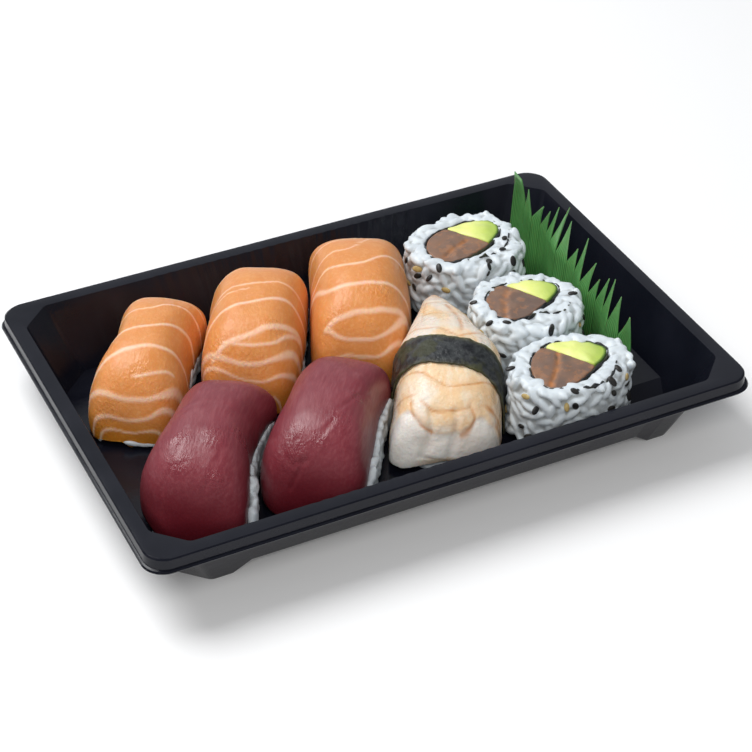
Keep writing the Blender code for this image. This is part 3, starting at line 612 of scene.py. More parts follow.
def salmon_masks(name, form):
    def masks_of(outer, across, way):
        height = outer[..., 2] / (form["height"] * MM)
        wobble = 0.4 * lumps(outer, 5 * MM, len(name))
        blur = soft_step(-way, 6.0, 16.0)
        fat = np.zeros(across.shape)
        for width, *stops in FAT_LINES[name]:
            gap = near_line(across, way + wobble, smooth_course(stops))
            line = 1.0 - soft_step(gap, 0.12 * width, width * (0.48 + 0.15 * blur))
            fat = np.maximum(fat, line * (0.95 - 0.12 * blur))
        # where painted shade goes: the lower parts of the slice, by height
        low = 1.0 - soft_step(height, 0.08, 0.5)
        wrinkled = patches(across, way, SALMON_WRINKLES[name])
        return {"fat": fat, "low": low * 0.9, "wrinkled": wrinkled}, 0.14 * fat
    return masks_of


for number, (name, form) in enumerate(SALMON.items(), start=1):
    piece = fish_slice(f"salmon_piece_{number}", form, salmon_flesh, number, salmon_masks(name, form))
    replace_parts(piece, f"salmon_slice_{number}")

# Tuna nigiri. Two slices of lean red tuna over rice. The cut face has fine fibres that run along
# the slice; it is moist and mauve where it catches light, and its lower sides and near end are
# painted deep maroon as painted shade.

TUNA = {
    "tuna_1": dict(near=(-75.2, -46.0), far=(-44.4, 0.6), height=28.0,
                   left=(12.0, 18.2, 15.2, 13.6, 14.0), right=(16.5, 13.4, 11.2, 12.6, 18.2),
                   left_edge=(4.0, 4.0), right_edge=(8.0, 12.0), square=(0.0, 1.0),
                   left_rice=(-0.5, -0.5), right_rice=(2.8, -0.8)),
    "tuna_2": dict(near=(-41.6, -48.9), far=(-8.4, -4.0), height=27.2,
                   left=(16.0, 16.8, 15.2, 14.4, 14.0), right=(16.0, 14.4, 13.4, 13.4, 16.8),
                   left_edge=(3.0, 3.0), right_edge=(9.0, 11.0), square=(0.0, 1.0),
                   left_rice=(-0.5, -0.5), right_rice=(2.0, 0.6)),
}
TUNA_WRINKLES = {
    "tuna_1": ((-6, -12, 4), (-5, -20, 5), (3.5, -9.6, 5), (9, -5, 4), (5, -23, 4)),
    "tuna_2": ((-6, -18, 4), (-5, -24, 6), (1, -20, 4), (6, -12, 5), (8, -1, 3)),
}
# creases in the cut face: width, depth, then places across and along the slice
TUNA_CREASES = {
    "tuna_1": ((1.2, 0.22, (-13, -4), (-6, 1), (2, 3), (9, 2)), (0.8, 0.16, (2, -29), (4, -22), (6, -14)),
               (0.8, 0.2, (-9, -26), (-6, -16), (-5, -8))),
    "tuna_2": ((0.8, 0.32, (-5.5, -34), (-2, -26), (1, -19.5), (4, -13)),
               (0.7, 0.28, (5, -8), (7, -4), (8.5, 0), (11, 3)),
               (1.0, 0.3, (-9, -22), (-6, -27), (-2, -26))),
}

tuna_flesh, tree, shader, coordinates = start_material(
    "tuna_flesh", Subsurface_Weight=0.12, Subsurface_Scale=0.0015, Specular_IOR_Level=0.5,
    Coat_Roughness=0.2, Coat_IOR=1.38, Subsurface_Radius=(1.0, 0.2, 0.15))
low = mask_value("low")
drawn_up = mask_value("wrinkled")
fibres = place_group(wet_skin, Scale=1100.0, Stretch=0.14)
uneven = place_group(mottle, Scale=90.0, Contrast=0.4)
flesh = mixed(uneven, (0.190, 0.026, 0.038), (0.232, 0.041, 0.056))
flesh = mixed(stretched(fibres, 0.45, 0.7, 0.0, 0.4), flesh, (0.33, 0.10, 0.11))
# painted shade: the lower sides and the near end are painted deep maroon
flesh = mixed(low, flesh, (0.125, 0.009, 0.016))
paint(flesh)
vary("Roughness", drawn_up, 0.42, 0.18)
vary("Coat Weight", uneven, 0.0, 0.08)
amount = stretched(drawn_up, 0.0, 1.0, 0.5, 2.4)
moisture = place_group(wet_skin, Scale=1100.0, Stretch=0.3, Amount=amount)
add_bump(moisture, 0.00024, 0.8)


def tuna_masks(name, form):
    def masks_of(outer, across, way):
        height = outer[..., 2] / (form["height"] * MM)
        # where painted shade goes: low on the slice and towards its near end
        low = np.maximum(1.0 - soft_step(height, 0.1, 0.8), soft_step(-way, 16.0, 40.0))
        relief = 0.0 * way
        for width, depth, *stops in TUNA_CREASES[name]:
            gap = near_line(across, way, smooth_course(stops))
            relief += depth * (0.5 * np.exp(-(gap / (2.2 * width)) ** 2) - np.exp(-(gap / width) ** 2))
        return {"low": low, "wrinkled": patches(across, way, TUNA_WRINKLES[name])}, relief
    return masks_of


for number, (name, form) in enumerate(TUNA.items(), start=1):
    piece = fish_slice(f"tuna_piece_{number}", form, tuna_flesh, number + 10, tuna_masks(name, form))
    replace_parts(piece, f"tuna_slice_{number}")

# Nigiri rice. A hand-pressed ball of sticky boiled rice under each slice: the grains merge into
# each other and only their rounded backs show, at the foot and along the open flank.

GRAIN_SIZE = np.array((6.0, 2.9, 2.6)) * MM
NIGIRI_VOXEL = 0.56 * MM
HOLLOW_DEPTH = 0.22 * MM
HOLLOW_ROUNDS = 10
LEFT_TUCK = 1.4 * MM
GRAIN_FROM_WALL = 2.6 * MM
CORE_FROM_WALL = 0.6 * MM
FLANK_STATIONS = 26


def scattered(spots, rings=2):
    """Points and faces of one round shape for each spot of size, place and turn."""
    mesh = bmesh.new()
    bmesh.ops.create_icosphere(mesh, subdivisions=rings, radius=0.5)
    base = np.array([vertex.co[:] for vertex in mesh.verts])
    base_faces = np.array([[vertex.index for vertex in face.verts] for face in mesh.faces])
    mesh.free()
    points = []
    faces = []
    for size, place, turn in spots:
        faces.append(base_faces + len(points) * len(base))
        points.append((base * np.array(size)) @ np.array(turn.to_matrix()).T + np.array(place))
    return np.concatenate(points), np.concatenate(faces)


def pressed_rice(name, core, spots, material, voxel):
    """Rice grains pressed into a core until they merge, as one skin with its hollows marked for painted
    shade.
    """
    core_points, core_faces = core
    grain_points, grain_faces = scattered(spots)
    points = np.concatenate([core_points, grain_points])
    piece = mesh_piece(name, points, core_faces + (grain_faces + len(core_points)).tolist(), material)
    merge = piece.modifiers.new("Remesh", "REMESH")
    merge.mode = "VOXEL"
    merge.voxel_size = voxel
    soften = piece.modifiers.new("Smooth", "SMOOTH")
    soften.factor = 0.5
    soften.iterations = 3
    settle(piece)
    piece.data.shade_smooth()

    # a point lies in a hollow when its neighbourhood stands out past it; hollows get painted shade
    places = np.array([vertex.co[:] for vertex in piece.data.vertices])
    normals = np.array([vertex.normal[:] for vertex in piece.data.vertices])
    one, other = np.array([edge.vertices[:] for edge in piece.data.edges]).T
    here = np.concatenate([one, other])
    there = np.concatenate([other, one])
    neighbours = np.maximum(1, np.bincount(here, minlength=len(places)))
    smooth = places
    for _ in range(HOLLOW_ROUNDS):
        sums = [np.bincount(here, smooth[there, axis], len(places)) for axis in range(3)]
        smooth = np.stack(sums, -1) / neighbours[:, None]
    depth = ((smooth - places) * normals).sum(axis=1)
    set_mask(piece, "painted_hollow_shade", 0.5 + 0.5 * depth / HOLLOW_DEPTH)
    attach(piece, "root")
    return piece


boiled_rice, tree, shader, coordinates = start_material(
    "boiled_rice", Subsurface_Weight=0.25, Subsurface_Scale=0.0012, Specular_IOR_Level=0.5,
    Coat_Roughness=0.25, Subsurface_Radius=(1.0, 0.95, 0.85))
painted_hollow_shade = mask_value("painted_hollow_shade")
uneven = place_group(mottle, Scale=260.0, Contrast=0.5)
grain_colour = mixed(uneven, (0.63, 0.69, 0.735), (0.73, 0.79, 0.83))
# painted shade: the hollows between grains are painted a dark grey
grain_colour = mixed(stretched(painted_hollow_shade, 0.5, 1.0, 0.0, 0.75), grain_colour, (0.28, 0.29, 0.28))
paint(grain_colour)
vary("Roughness", uneven, 0.35, 0.55)
vary("Coat Weight", uneven, 0.0, 0.25, 0.4, 0.9)
add_bump(place_group(wet_skin, Scale=500.0, Stretch=1.0), 0.00015, 0.4)


def off_the_wall(places, form, room):
    """Places in a nigiri's own frame, drawn back where they come too near the tray's near wall."""
    near = np.array(form["near"]) * MM
    far = np.array(form["far"]) * MM
    along = (far - near) / np.linalg.norm(far - near)
    y = (near[1] + far[1]) / 2 + along[1] * places[..., 1] - along[0] * places[..., 0]
    wall = RIM_WIDTH / 2 - RIM_FLAT + (places[..., 2] + FOOD_LEVEL - TRAY_HEIGHT) * WALL_DRAFT - room
    back = np.maximum(0.0, -wall - y)
    return places + np.stack([-along[0] * back, along[1] * back, 0.0 * back], -1)


def rice_ball(name, form, seed, ahead):
    """The rice under a slice, in the slice's own place, some grains ahead of its near end."""
    half_length = math.dist(form["near"], form["far"]) * MM / 2
    draw = random.Random(seed)
    rows, _ = slice_points(form, half_length, SLICE_THICKNESS + 0.5 * MM, FLANK_STATIONS, 24)
    flanks = []
    spots = []
    for side, sign, own in (("left", -1, rows[:, 0]), ("right", 1, rows[:, -1])):
        def reach(share):
            halves, edges, _, fall = slice_sizes(form, share)
            number = 0 if side == "left" else 1
            return halves[number] + through(form[side + "_rice"], share) * MM * fall, edges[number]

        out, edge = reach(even_shares(FLANK_STATIONS))
        inner = np.abs(own[:, 0])
        room = inner + (out - inner) * np.minimum(1.0, edge / (3.0 * MM))
        tucked = LEFT_TUCK if side == "left" else 0.0
        shoulder = np.maximum(0.5 * MM, edge - GAP)
        flanks.append(np.stack([np.stack([sign * (room - back * MM), own[:, 1], shoulder * level], -1)
                                for back, level in ((0.8, 0.0), (0.0, 0.4), (0.3, 0.9))], axis=1))
        for share in np.linspace(-0.84, 0.84, 24):
            here = share + draw.uniform(-0.03, 0.03)
            out, edge = reach(here)
            for level in np.arange(1.2, max(2.0, float(edge) / MM), 1.9):
                beside = sign * (float(out) - tucked - draw.uniform(0.5, 1.3) * MM)
                place = np.array((beside, half_length * here, (level + draw.uniform(-0.3, 0.4)) * MM))
                turn = Euler((0.0, draw.uniform(-0.9, 0.9), math.pi / 2 + draw.uniform(-0.3, 0.3)))
                size = GRAIN_SIZE * draw.uniform(0.8, 1.05)
                spots.append((size, off_the_wall(place, form, GRAIN_FROM_WALL), turn))
    for share in np.linspace(0.0 if ahead > 0.0 else -1.0, 1.0, 8):
        in_front = (2.9 + 2.0 * share ** 2 - ahead) * MM - half_length
        place = (share * 9.5 * MM, in_front, draw.uniform(1.0, 1.5) * MM)
        turn = Euler((0.0, draw.uniform(-0.4, 0.4), draw.uniform(-0.5, 0.5)))
        spots.append((GRAIN_SIZE * 0.9, place, turn))
    rows = off_the_wall(np.concatenate([flanks[0], rows, flanks[1][:, ::-1]], axis=1), form, CORE_FROM_WALL)
    piece = pressed_rice(name, closed_skin(rows), spots, boiled_rice, NIGIRI_VOXEL)
    stand_on_line(piece, form["near"], form["far"])
    return piece


for number, form in enumerate(SALMON.values(), start=1):
    ahead = 2.0 if number == 1 else 0.0
    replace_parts(rice_ball(f"salmon_rice_ball_{number}", form, number, ahead), f"salmon_rice_{number}")
for number, form in enumerate(TUNA.values(), start=1):
    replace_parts(rice_ball(f"tuna_rice_ball_{number}", form, number + 20, -2.0), f"tuna_rice_{number}")

# Prawn nigiri. A cooked prawn, slit along its belly and opened flat, lies over the rice with its
# tail past the far end. Its flesh is white to cream, in overlapping segments whose edges are
# orange-pink, and three white lobes hang over the near end.

PRAWN_NEAR = (3.0, -46.0)
PRAWN_FAR = (30.0, 15.5)
PRAWN_THICKNESS = 4.2
PRAWN_TIP_HEIGHT = 15.5
PRAWN_RICE_END = 48.5
PRAWN_NEAR_LIFT = 3.2
# distance from the near end, half width, ridge height, edge height and shift to the right
PRAWN_SECTIONS = np.array((
    (0.0, 8.5, 5.6, 2.4, -1.8), (1.0, 12.0, 9.0, 1.5, -1.5), (4.0, 15.5, 15.5, 1.5, -0.8),
    (10.0, 16.0, 20.0, 2.0, 0.2),
    (18.0, 15.9, 22.5, 3.0, 1.2), (28.0, 15.8, 23.8, 5.0, 2.2), (37.0, 15.2, 23.6, 10.0, 2.6),
    (45.0, 11.2, 22.4, 12.0, 1.5), (52.0, 8.4, 20.8, 13.0, 1.4), (59.0, 5.2, 18.8, 13.8, 0.5),
    (63.5, 3.6, 17.4, 14.2, 0.1), (67.0, 0.8, 16.0, 15.2, 0.0),
))
# each orange edge: its width and strength, then its places across and along the prawn
PRAWN_EDGES = (
    (0.9, 0.9, (-16, 24), (-7, 20), (-3.5, 16.5), (0, 14), (3, 13.3), (7.5, 14.3), (12, 17), (16, 19)),
    (0.9, 0.7, (-16, 17), (-13, 14), (-10.5, 12.4), (-8.5, 12)),
    (0.8, 0.8, (-7, 9), (-4.5, 7), (-2, 6.4), (2.5, 6.5), (7, 7.5)),
    (0.9, 0.9, (-10, 10), (-9.8, 7.3), (-8.2, 4.8), (-6.8, 3.6), (-4.2, 2.6)),
    (1.2, 1.0, (7, 7.5), (8, 5), (6.7, 3.3), (4, 2.4)),
    (2.4, 0.8, (12, 9), (14.5, 9.8), (15.4, 9.3), (14.7, 7.4)),
    (1.0, 1.0, (-16, 44), (-8.5, 42), (-4.3, 39.5), (0, 39), (3.5, 36), (6, 34.7), (12, 37.5), (16, 40)),
    (0.8, 0.7, (-8, 52), (-3.7, 50), (1, 49.7)), (1.8, 0.9, (3, 56), (4.6, 51.5), (6.4, 44), (6.5, 38)),
    (0.9, 0.6, (9, 50), (11, 45), (13, 39)), (1.2, 0.7, (-6, 60), (0, 58), (5, 60)),
    (2.4, 1.0, (-3, 65), (0, 66), (3, 64)), (0.8, 0.5, (-3, 58), (-4, 52), (-5, 44)),
)
# how far the white lobes reach from the near end, at places across the prawn
LOBE_ENDS = ((-16, -11, -9.8, -8.2, -6.8, -4.2, 0, 4, 6.7, 8, 11, 15),
             (8.6, 8.2, 7.0, 4.8, 3.6, 2.7, 2.3, 2.5, 3.4, 5.0, 6.0, 5.6))
# the two grooves between the lobes: places across and along
LOBE_GROOVES = (((-7.5, 0.0), (-5.2, 1.6), (-4.2, 4.0), (-4.6, 6.0)),
                ((0.6, 0.0), (2.0, 1.6), (3.0, 4.0), (2.6, 6.0)))


def along_prawn(distance, inset):
    """The prawn's half width, ridge, edge height and shift at distances from its near end."""
    course = smooth_course(PRAWN_SECTIONS, 8)
    half, ridge, edge, shift = (np.interp(distance, course[:, 0], values) for values in course.T[1:])
    return np.maximum(0.3, half - inset), np.maximum(edge, ridge - inset), edge, shift


def prawn_points(distance, inset, around):
    """Rows of points across the prawn at distances from its near end, in metres."""
    half, ridge, edge, shift = (value[:, None] for value in along_prawn(distance, inset))
    angle = np.radians(np.linspace(-90.0, 90.0, around))[None, :]
    x, z = arch((half, half), (edge, edge), ridge, angle)
    return np.stack([shift + x, distance[:, None] + 0.0 * x, z], -1) * MM


prawn_flesh, tree, shader, coordinates = start_material(
    "prawn_flesh", Subsurface_Weight=0.25, Subsurface_Scale=0.0018, Specular_IOR_Level=0.45,
    Coat_Roughness=0.15, Subsurface_Radius=(1.0, 0.6, 0.4))
orange = mask_value("orange")
white = mask_value("white")
uneven = place_group(mottle, Scale=110.0, Contrast=0.5)
streaks = place_group(wet_skin, Scale=420.0, Stretch=0.3)
flesh = mixed(uneven, (0.84, 0.57, 0.32), (0.88, 0.68, 0.45))
flesh = mixed(stretched(streaks, 0.48, 0.62, 0.0, 0.55), flesh, (0.88, 0.77, 0.61))
flesh = mixed(white, flesh, (0.82, 0.79, 0.74))
flesh = mixed(orange, flesh, (0.60, 0.235, 0.05))
paint(flesh)
vary("Roughness", uneven, 0.18, 0.36)
vary("Coat Weight", uneven, 0.0, 0.1, 0.2, 0.8)
add_bump(place_group(wet_skin, Scale=700.0, Stretch=1.3), 0.0004, 0.8)

distances = np.concatenate([np.linspace(0.1, 5.0, 28)[:-1], np.linspace(5.0, 66.7, 130)])
outer = prawn_points(distances, 0.0, 110)
inner = prawn_points(np.linspace(PRAWN_THICKNESS, PRAWN_RICE_END, len(outer)), PRAWN_THICKNESS, 24)
across = outer[..., 0] / MM
along = outer[..., 1] / MM
bend = along + 0.8 * lumps(outer, 7 * MM, 3)
orange = np.zeros(across.shape)
relief = 0.35 * lumps(outer, 8 * MM, 21) + 0.14 * lumps(outer, 3 * MM, 22) + 0.05 * lumps(outer, 1.2 * MM, 23)
for width, strength, *stops in PRAWN_EDGES:
    gap = near_line(across, bend, smooth_course(stops))
    line = 0.85 - 0.85 * soft_step(gap, 0.0, 0.6 * width) + 0.15 * np.exp(-(gap / (2.5 * width)) ** 2)
    orange = np.maximum(orange, strength * line)
    relief -= 0.22 * strength * np.exp(-(gap / (0.6 * width)) ** 2)
orange *= 1.0 - 0.3 * soft_step(along, 30.0, 45.0)
orange = np.maximum(orange, 0.75 * soft_step(along, 60.0, 66.0)) * (0.8 + 0.5 * lumps(outer, 2.5 * MM, 8))
past_lobes = along - np.interp(across, LOBE_ENDS[0], LOBE_ENDS[1]) - 0.5 * lumps(outer, 3 * MM, 17)
lobes = 1.0 - soft_step(past_lobes, -0.5, 0.9)
relief += 0.35 * soft_step(past_lobes, -0.4, 0.5)
pale = lumps(outer * (1.0, 0.5, 1.0), 6 * MM, 12) + 0.4 * soft_step(along, 32.0, 40.0)
pale = 0.7 * soft_step(pale, 0.0, 0.5)
for groove in LOBE_GROOVES:
    gap = near_line(across, along, smooth_course(groove))
    relief += 0.25 * np.exp(-(gap / 2.8) ** 2) - 0.8 * np.exp(-(gap / 1.0) ** 2)
relief *= 1.0 - 0.6 * soft_step(along, 55.0, 66.0)
outer = pushed_out(outer, relief)
lifted = 1.6 + 2.8 * np.exp(-((across + 1.5) / 5.5) ** 4)
outer[..., 2] = np.maximum(outer[..., 2], np.where(along < 5.0, lifted * MM, 0.2 * MM))
prawn = draped_piece(
    "prawn_piece", outer, inner, [(0.0, 0.0, 4.6 * MM), (0.0, 67.1 * MM, PRAWN_TIP_HEIGHT * MM)],
    [(0.0, PRAWN_THICKNESS * MM, PRAWN_NEAR_LIFT * MM),
     (0.0, (PRAWN_RICE_END + 1.5) * MM, (PRAWN_TIP_HEIGHT - 2.0) * MM)],
    prawn_flesh, {"orange": orange, "white": np.maximum(lobes, pale)})
stand_on_line(prawn, PRAWN_NEAR, PRAWN_FAR, from_near=True)
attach(prawn, "root")
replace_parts(prawn, "prawn")

draw = random.Random(31)
rows = prawn_points(np.linspace(4.6, 46.0, 24), PRAWN_THICKNESS + 0.6, 22)
feet = rows[:, [0, -1]] * (1.0, 1.0, 0.0)
spots = []
for side in (-1, 1):
    for distance in np.arange(5.0, 46.0, 2.3):
        half, _, edge, shift = (float(value) for value in along_prawn(distance, PRAWN_THICKNESS))
        for level in np.arange(1.2, max(2.0, edge - 0.8), 2.0):
            place = ((shift + side * (half - 0.3 + draw.uniform(-0.5, 0.5))) * MM,
                     (distance + draw.uniform(-0.8, 0.8)) * MM, level * MM)
            spots.append((GRAIN_SIZE * draw.uniform(0.85, 1.1), place,
                          Euler((0.0, draw.uniform(-0.9, 0.9), math.pi / 2 + draw.uniform(-0.3, 0.3)))))
for x in np.arange(-9.0, 6.1, 2.1):
    for level, back in ((1.2, 2.2), (3.0, 3.2)):
        place = (x * MM, (back + 0.03 * (x + 1.5) ** 2) * MM, (level + draw.uniform(-0.2, 0.2)) * MM)
        spots.append((GRAIN_SIZE, place, Euler((0.0, draw.uniform(-0.4, 0.4), draw.uniform(-0.5, 0.5)))))
core = closed_skin(np.concatenate([feet[:, :1], rows, feet[:, 1:]], axis=1))
prawn_rice = pressed_rice("prawn_rice_ball", core, spots, boiled_rice, NIGIRI_VOXEL)
stand_on_line(prawn_rice, PRAWN_NEAR, PRAWN_FAR, from_near=True)
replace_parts(prawn_rice, "prawn_rice")

# Seaweed band. A strip of roasted seaweed, 12 mm wide and thin as paper, goes over the prawn and
# down both sides to the floor. It has drawn up the moisture, so it wrinkles and clings.

BAND_START = 21.0
BAND_END = 33.5
BAND_SKEW = 0.22
BAND_THICKNESS = 0.5
BAND_LEGS = 8

seaweed, tree, shader, coordinates = start_material("seaweed", Specular_IOR_Level=0.45)
uneven = place_group(mottle, Scale=420.0, Contrast=0.8)
blotches = place_group(mottle, Scale=110.0, Contrast=0.8)
edge = mask_value("edge")
leaf = mixed(uneven, (0.005, 0.006, 0.009), (0.036, 0.040, 0.042))
leaf = mixed(stretched(blotches, 0.7, 1.0, 0.0, 0.6), leaf, (0.050, 0.052, 0.016))
leaf = mixed(edge, leaf, (0.17, 0.155, 0.045))
paint(leaf)
vary("Roughness", blotches, 0.34, 0.6)
add_bump(place_group(wet_skin, Scale=520.0, Stretch=1.0), 0.0006, 0.9)


def band_rows(outward, stations, around):
    """Rows of points across the band, from floor to floor, grown outward from the prawn."""
    angle = np.radians(np.linspace(-90.0, 90.0, around))
    rows = []
    for start in np.linspace(BAND_START, BAND_END, stations):
        moved = np.full(around, start)
        for _ in range(2):
            half, ridge, edge, shift = along_prawn(moved, -outward)
            x, z = arch((half, half), (edge, edge), ridge, angle)
            moved = start - BAND_SKEW * (shift + x)
        drop = np.linspace(0.0, 1.0, BAND_LEGS + 1)[:-1]
        x = np.pad(shift + x, BAND_LEGS, mode="edge")
        y = np.pad(moved, BAND_LEGS, mode="edge")
        z = np.concatenate([z[0] * drop, z, (z[-1] * drop)[::-1]])
        rows.append(np.stack([x, y, z], -1))
    return np.array(rows) * MM


outer = band_rows(0.7 + BAND_THICKNESS, 30, 130)
edge_share = np.linspace(-1.0, 1.0, outer.shape[0])[:, None]
outer[..., 1] += 0.45 * lumps(outer, 1.5 * MM, 5) * MM * edge_share ** 3
outer = pushed_out(outer, 0.26 * lumps(outer, 3.2 * MM, 6) + 0.13 * lumps(outer, 1.3 * MM, 7))
inner = pushed_out(outer, np.full(outer.shape[:2], -BAND_THICKNESS))
points, faces = closed_skin(np.swapaxes(np.concatenate([outer, inner[::-1]]), 0, 1))
band = mesh_piece("seaweed_strip", points, faces, seaweed)
frayed = np.abs(edge_share) ** 9 * (0.75 + 0.6 * lumps(outer, 1.0 * MM, 15))
frayed *= np.where(edge_share > 0, 1.0, 0.35)
set_mask(band, "edge", np.swapaxes(np.concatenate([frayed, frayed[::-1]]), 0, 1))
stand_on_line(band, PRAWN_NEAR, PRAWN_FAR, from_near=True)
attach(band, "root")
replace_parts(band, "seaweed_band")

# Inside-out rolls. Rice outside, then a sheet of seaweed rolled round raw salmon and a wedge of
# avocado, cut across into short drums that stand on a cut face. The sheet's end runs on into the
# rice as a short tail, and black and tan sesame seeds stick to the outside.

# outline of the seaweed ring, how the seam between avocado and salmon lies in it, the crease in
# the salmon, the seaweed's tail in the rice, and black seeds on the cut face, all seen from above
ROLLS = (
    dict(centre=(48.6, 29.8), half=(18.7, 16.8), seam_turn=-55.0, seam_shift=3.0, seed=3,
         ring=((61.6, 31.4), (61.6, 36.4), (56.0, 39.2), (49.0, 39.2), (41.5, 37.8), (36.4, 33.4),
               (35.0, 27.4), (37.4, 22.6), (43.4, 21.2), (50.0, 23.2), (56.6, 26.4)),
         crease=((48.5, 29.6), (43.5, 27.3), (39.1, 25.0)),
         tail=((44.0, 19.6), (48.2, 19.4), (52.4, 19.3), (56.5, 20.4), (60.7, 24.1), (62.8, 27.6)),
         black=((33.3, 19.8), (49.4, 15.7), (49.8, 11.9), (60.4, 25.5), (57.2, 10.1), (56.5, 19.8))),
    dict(centre=(49.9, -7.4), half=(17.0, 15.8), seam_turn=-60.0, seam_shift=2.6, seed=8,
         ring=((62.2, -5.2), (61.0, -1.6), (56.4, 1.8), (51.0, 3.0), (44.0, 2.8), (39.0, -1.4),
               (37.4, -7.4), (39.8, -13.0), (46.0, -14.6), (52.6, -11.6), (58.4, -9.2)),
         crease=((48.0, 0.5), (44.2, -4.1), (40.0, -12.7)),
         tail=((45.6, -15.8), (50.1, -15.1), (54.2, -17.1), (58.2, -16.7), (61.1, -14.1)),
         black=((34.4, -1.1), (32.1, -13.2), (38.7, -15.3), (49.9, -25.3), (50.8, -29.6), (64.4, -10.3))),
    dict(centre=(46.0, -40.2), half=(18.8, 14.8), seam_turn=-58.0, seam_shift=3.2, seed=15,
         ring=((59.2, -38.6), (56.8, -34.4), (50.8, -30.6), (44.8, -29.8), (39.2, -31.6), (35.0, -36.4),
               (33.0, -42.6), (34.4, -48.0), (38.4, -50.2), (44.4, -49.0), (51.0, -45.6), (56.4, -42.6)),
         crease=((45.0, -35.0), (41.0, -41.5), (35.5, -47.6)),
         tail=((41.0, -52.6), (46.0, -53.4), (51.0, -52.4), (55.4, -49.6), (58.6, -45.6)),
         black=((28.6, -34.3), (52.2, -54.4), (40.0, -54.0), (57.0, -49.5))),
)
ROLL_HEIGHT = 22.3 * MM
ROLL_TOP = FOOD_LEVEL + ROLL_HEIGHT
RING_THICKNESS = 0.5 * MM
RING_SHEET = 0.4 * MM
RING_RAG = 0.6
TAIL_SHEET = 0.45 * MM
TAIL_RAG = 1.2
TAIL_DEPTH = 5.0 * MM
CUT_FACE = 0.3 * MM
ROLL_POINTS = 96
# how often each wave goes round a roll and how much it adds, then the roll's outline from its foot
# to its top: share of the height, growth in millimetres and twist of the waves
ROLL_WAVES = ((2, 0.020), (3, 0.030), (4, 0.018), (6, 0.014))
ROLL_LEVELS = ((0.0, -2.0, 0.0), (0.12, -0.7, 0.1), (0.45, -0.2, 0.25), (0.8, -0.5, 0.4),
               (0.92, -1.3, 0.4), (0.975, -2.6, 0.4))
# the steps of a filling's cut face, from its rim to its middle
FILLING_STEPS = (0.985, 0.94, 0.86, 0.76, 0.64, 0.52, 0.40, 0.28, 0.16, 0.06)
FILLING_CROWN_SALMON = 0.4 * MM
FILLING_CROWN_AVOCADO = 0.7 * MM
SEAM_GAP = 0.05 * MM
ROLL_VOXEL = 0.41 * MM
GRAINS_ROUND_ROLL = 170
GRAINS_ON_TOP = 64
GOLDEN_SHARE = 0.618034
SEEDS_ROUND_ROLL = 30
SEED_SIZE = np.array((3.1, 1.8, 1.0)) * MM


def ray_headings():
    angle = math.tau * np.arange(ROLL_POINTS) / ROLL_POINTS
    return angle, np.stack([np.cos(angle), np.sin(angle)], -1)


def lumpy_outline(form, waves, grow, twist):
    """A rounded outline whose radius swells and shrinks by a few waves."""
    half = np.array(form["half"]) * MM
    angle, heading = ray_headings()
    swell = 1.0 + sum(size * np.cos(order * angle + phase + twist) for order, size, phase in waves)
    outward = heading * half[::-1]
    outward /= np.linalg.norm(outward, axis=1, keepdims=True)
    return np.array(form["centre"]) * MM + heading * half * swell[:, None] + outward * grow * MM


def ring_outline(stops, grow):
    """A smooth closed outline through a few places, at even angles round their middle."""
    stops = np.array(stops) * MM
    middle = stops.mean(axis=0)
    course = smooth_course([*stops[-3:], *stops, *stops[:3]])[36:-25] - middle
    angle, heading = ray_headings()
    reach = np.interp(angle, np.arctan2(course[:, 1], course[:, 0]), np.hypot(*course.T), period=math.tau)
    outline = heading * reach[:, None]
    step = np.roll(outline, -1, axis=0) - np.roll(outline, 1, axis=0)
    step /= np.linalg.norm(step, axis=1, keepdims=True)
    return middle + outline + np.stack([step[:, 1], -step[:, 0]], -1) * grow


def clipped(outline, origin, normal):
    """The part of an outline on the side of a line that its normal points to."""
    depths = (outline - origin) @ normal
    onward = zip(outline, np.roll(outline, -1, axis=0), depths, np.roll(depths, -1))
    kept = []
    for here, after, depth, next_depth in onward:
        if depth >= 0.0:
            kept.append(here)
        if depth * next_depth < 0.0:
            kept.append(here + (after - here) * depth / (depth - next_depth))
    return np.array(kept)


def softened(outline, rounds, count=90):
    """An outline at even steps, its corners worn round."""
    closed = np.concatenate([outline, outline[:1]])
    way = np.concatenate([[0.0], np.cumsum(np.linalg.norm(np.diff(closed, axis=0), axis=1))])
    even = np.linspace(0.0, way[-1], count, endpoint=False)
    outline = np.stack([np.interp(even, way, closed[:, axis]) for axis in (0, 1)], -1)
    for _ in range(rounds):
        outline = (np.roll(outline, 1, axis=0) + 2.0 * outline + np.roll(outline, -1, axis=0)) / 4.0
    return outline


def level_row(outline, height):
    return np.concatenate([outline, np.full((len(outline), 1), height)], axis=1)


sesame_black, tree, shader, coordinates = start_material("sesame_black", Roughness=0.45)
uneven = place_group(mottle, Scale=500.0, Contrast=0.5)
paint(mixed(uneven, (0.008, 0.008, 0.009), (0.030, 0.027, 0.024)))
sesame_tan, tree, shader, coordinates = start_material("sesame_tan", Roughness=0.5)
uneven = place_group(mottle, Scale=500.0, Contrast=0.5)
paint(mixed(uneven, (0.32, 0.20, 0.06), (0.55, 0.42, 0.18)))

roll_salmon, tree, shader, coordinates = start_material(
    "roll_salmon", Subsurface_Weight=0.15, Subsurface_Scale=0.0015, Coat_Weight=0.25, Coat_Roughness=0.25,
    Subsurface_Radius=(1.0, 0.4, 0.2))
crease_tint_and_highlight = mask_value("crease")
uneven = place_group(mottle, Scale=95.0, Contrast=0.6)
specks = place_group(mottle, Scale=420.0, Contrast=0.9)
flesh = mixed(uneven, (0.155, 0.098, 0.074), (0.245, 0.132, 0.080))
flesh = mixed(stretched(specks, 0.7, 1.0, 0.0, 0.35), flesh, (0.42, 0.18, 0.07))
# the crease is painted a brighter orange: partly the flesh's own line, partly painted highlight
flesh = mixed(crease_tint_and_highlight, flesh, (0.52, 0.20, 0.055))
paint(flesh)
vary("Roughness", uneven, 0.38, 0.55)
add_bump(place_group(wet_skin, Scale=300.0, Stretch=1.0), 0.0004, 0.6)

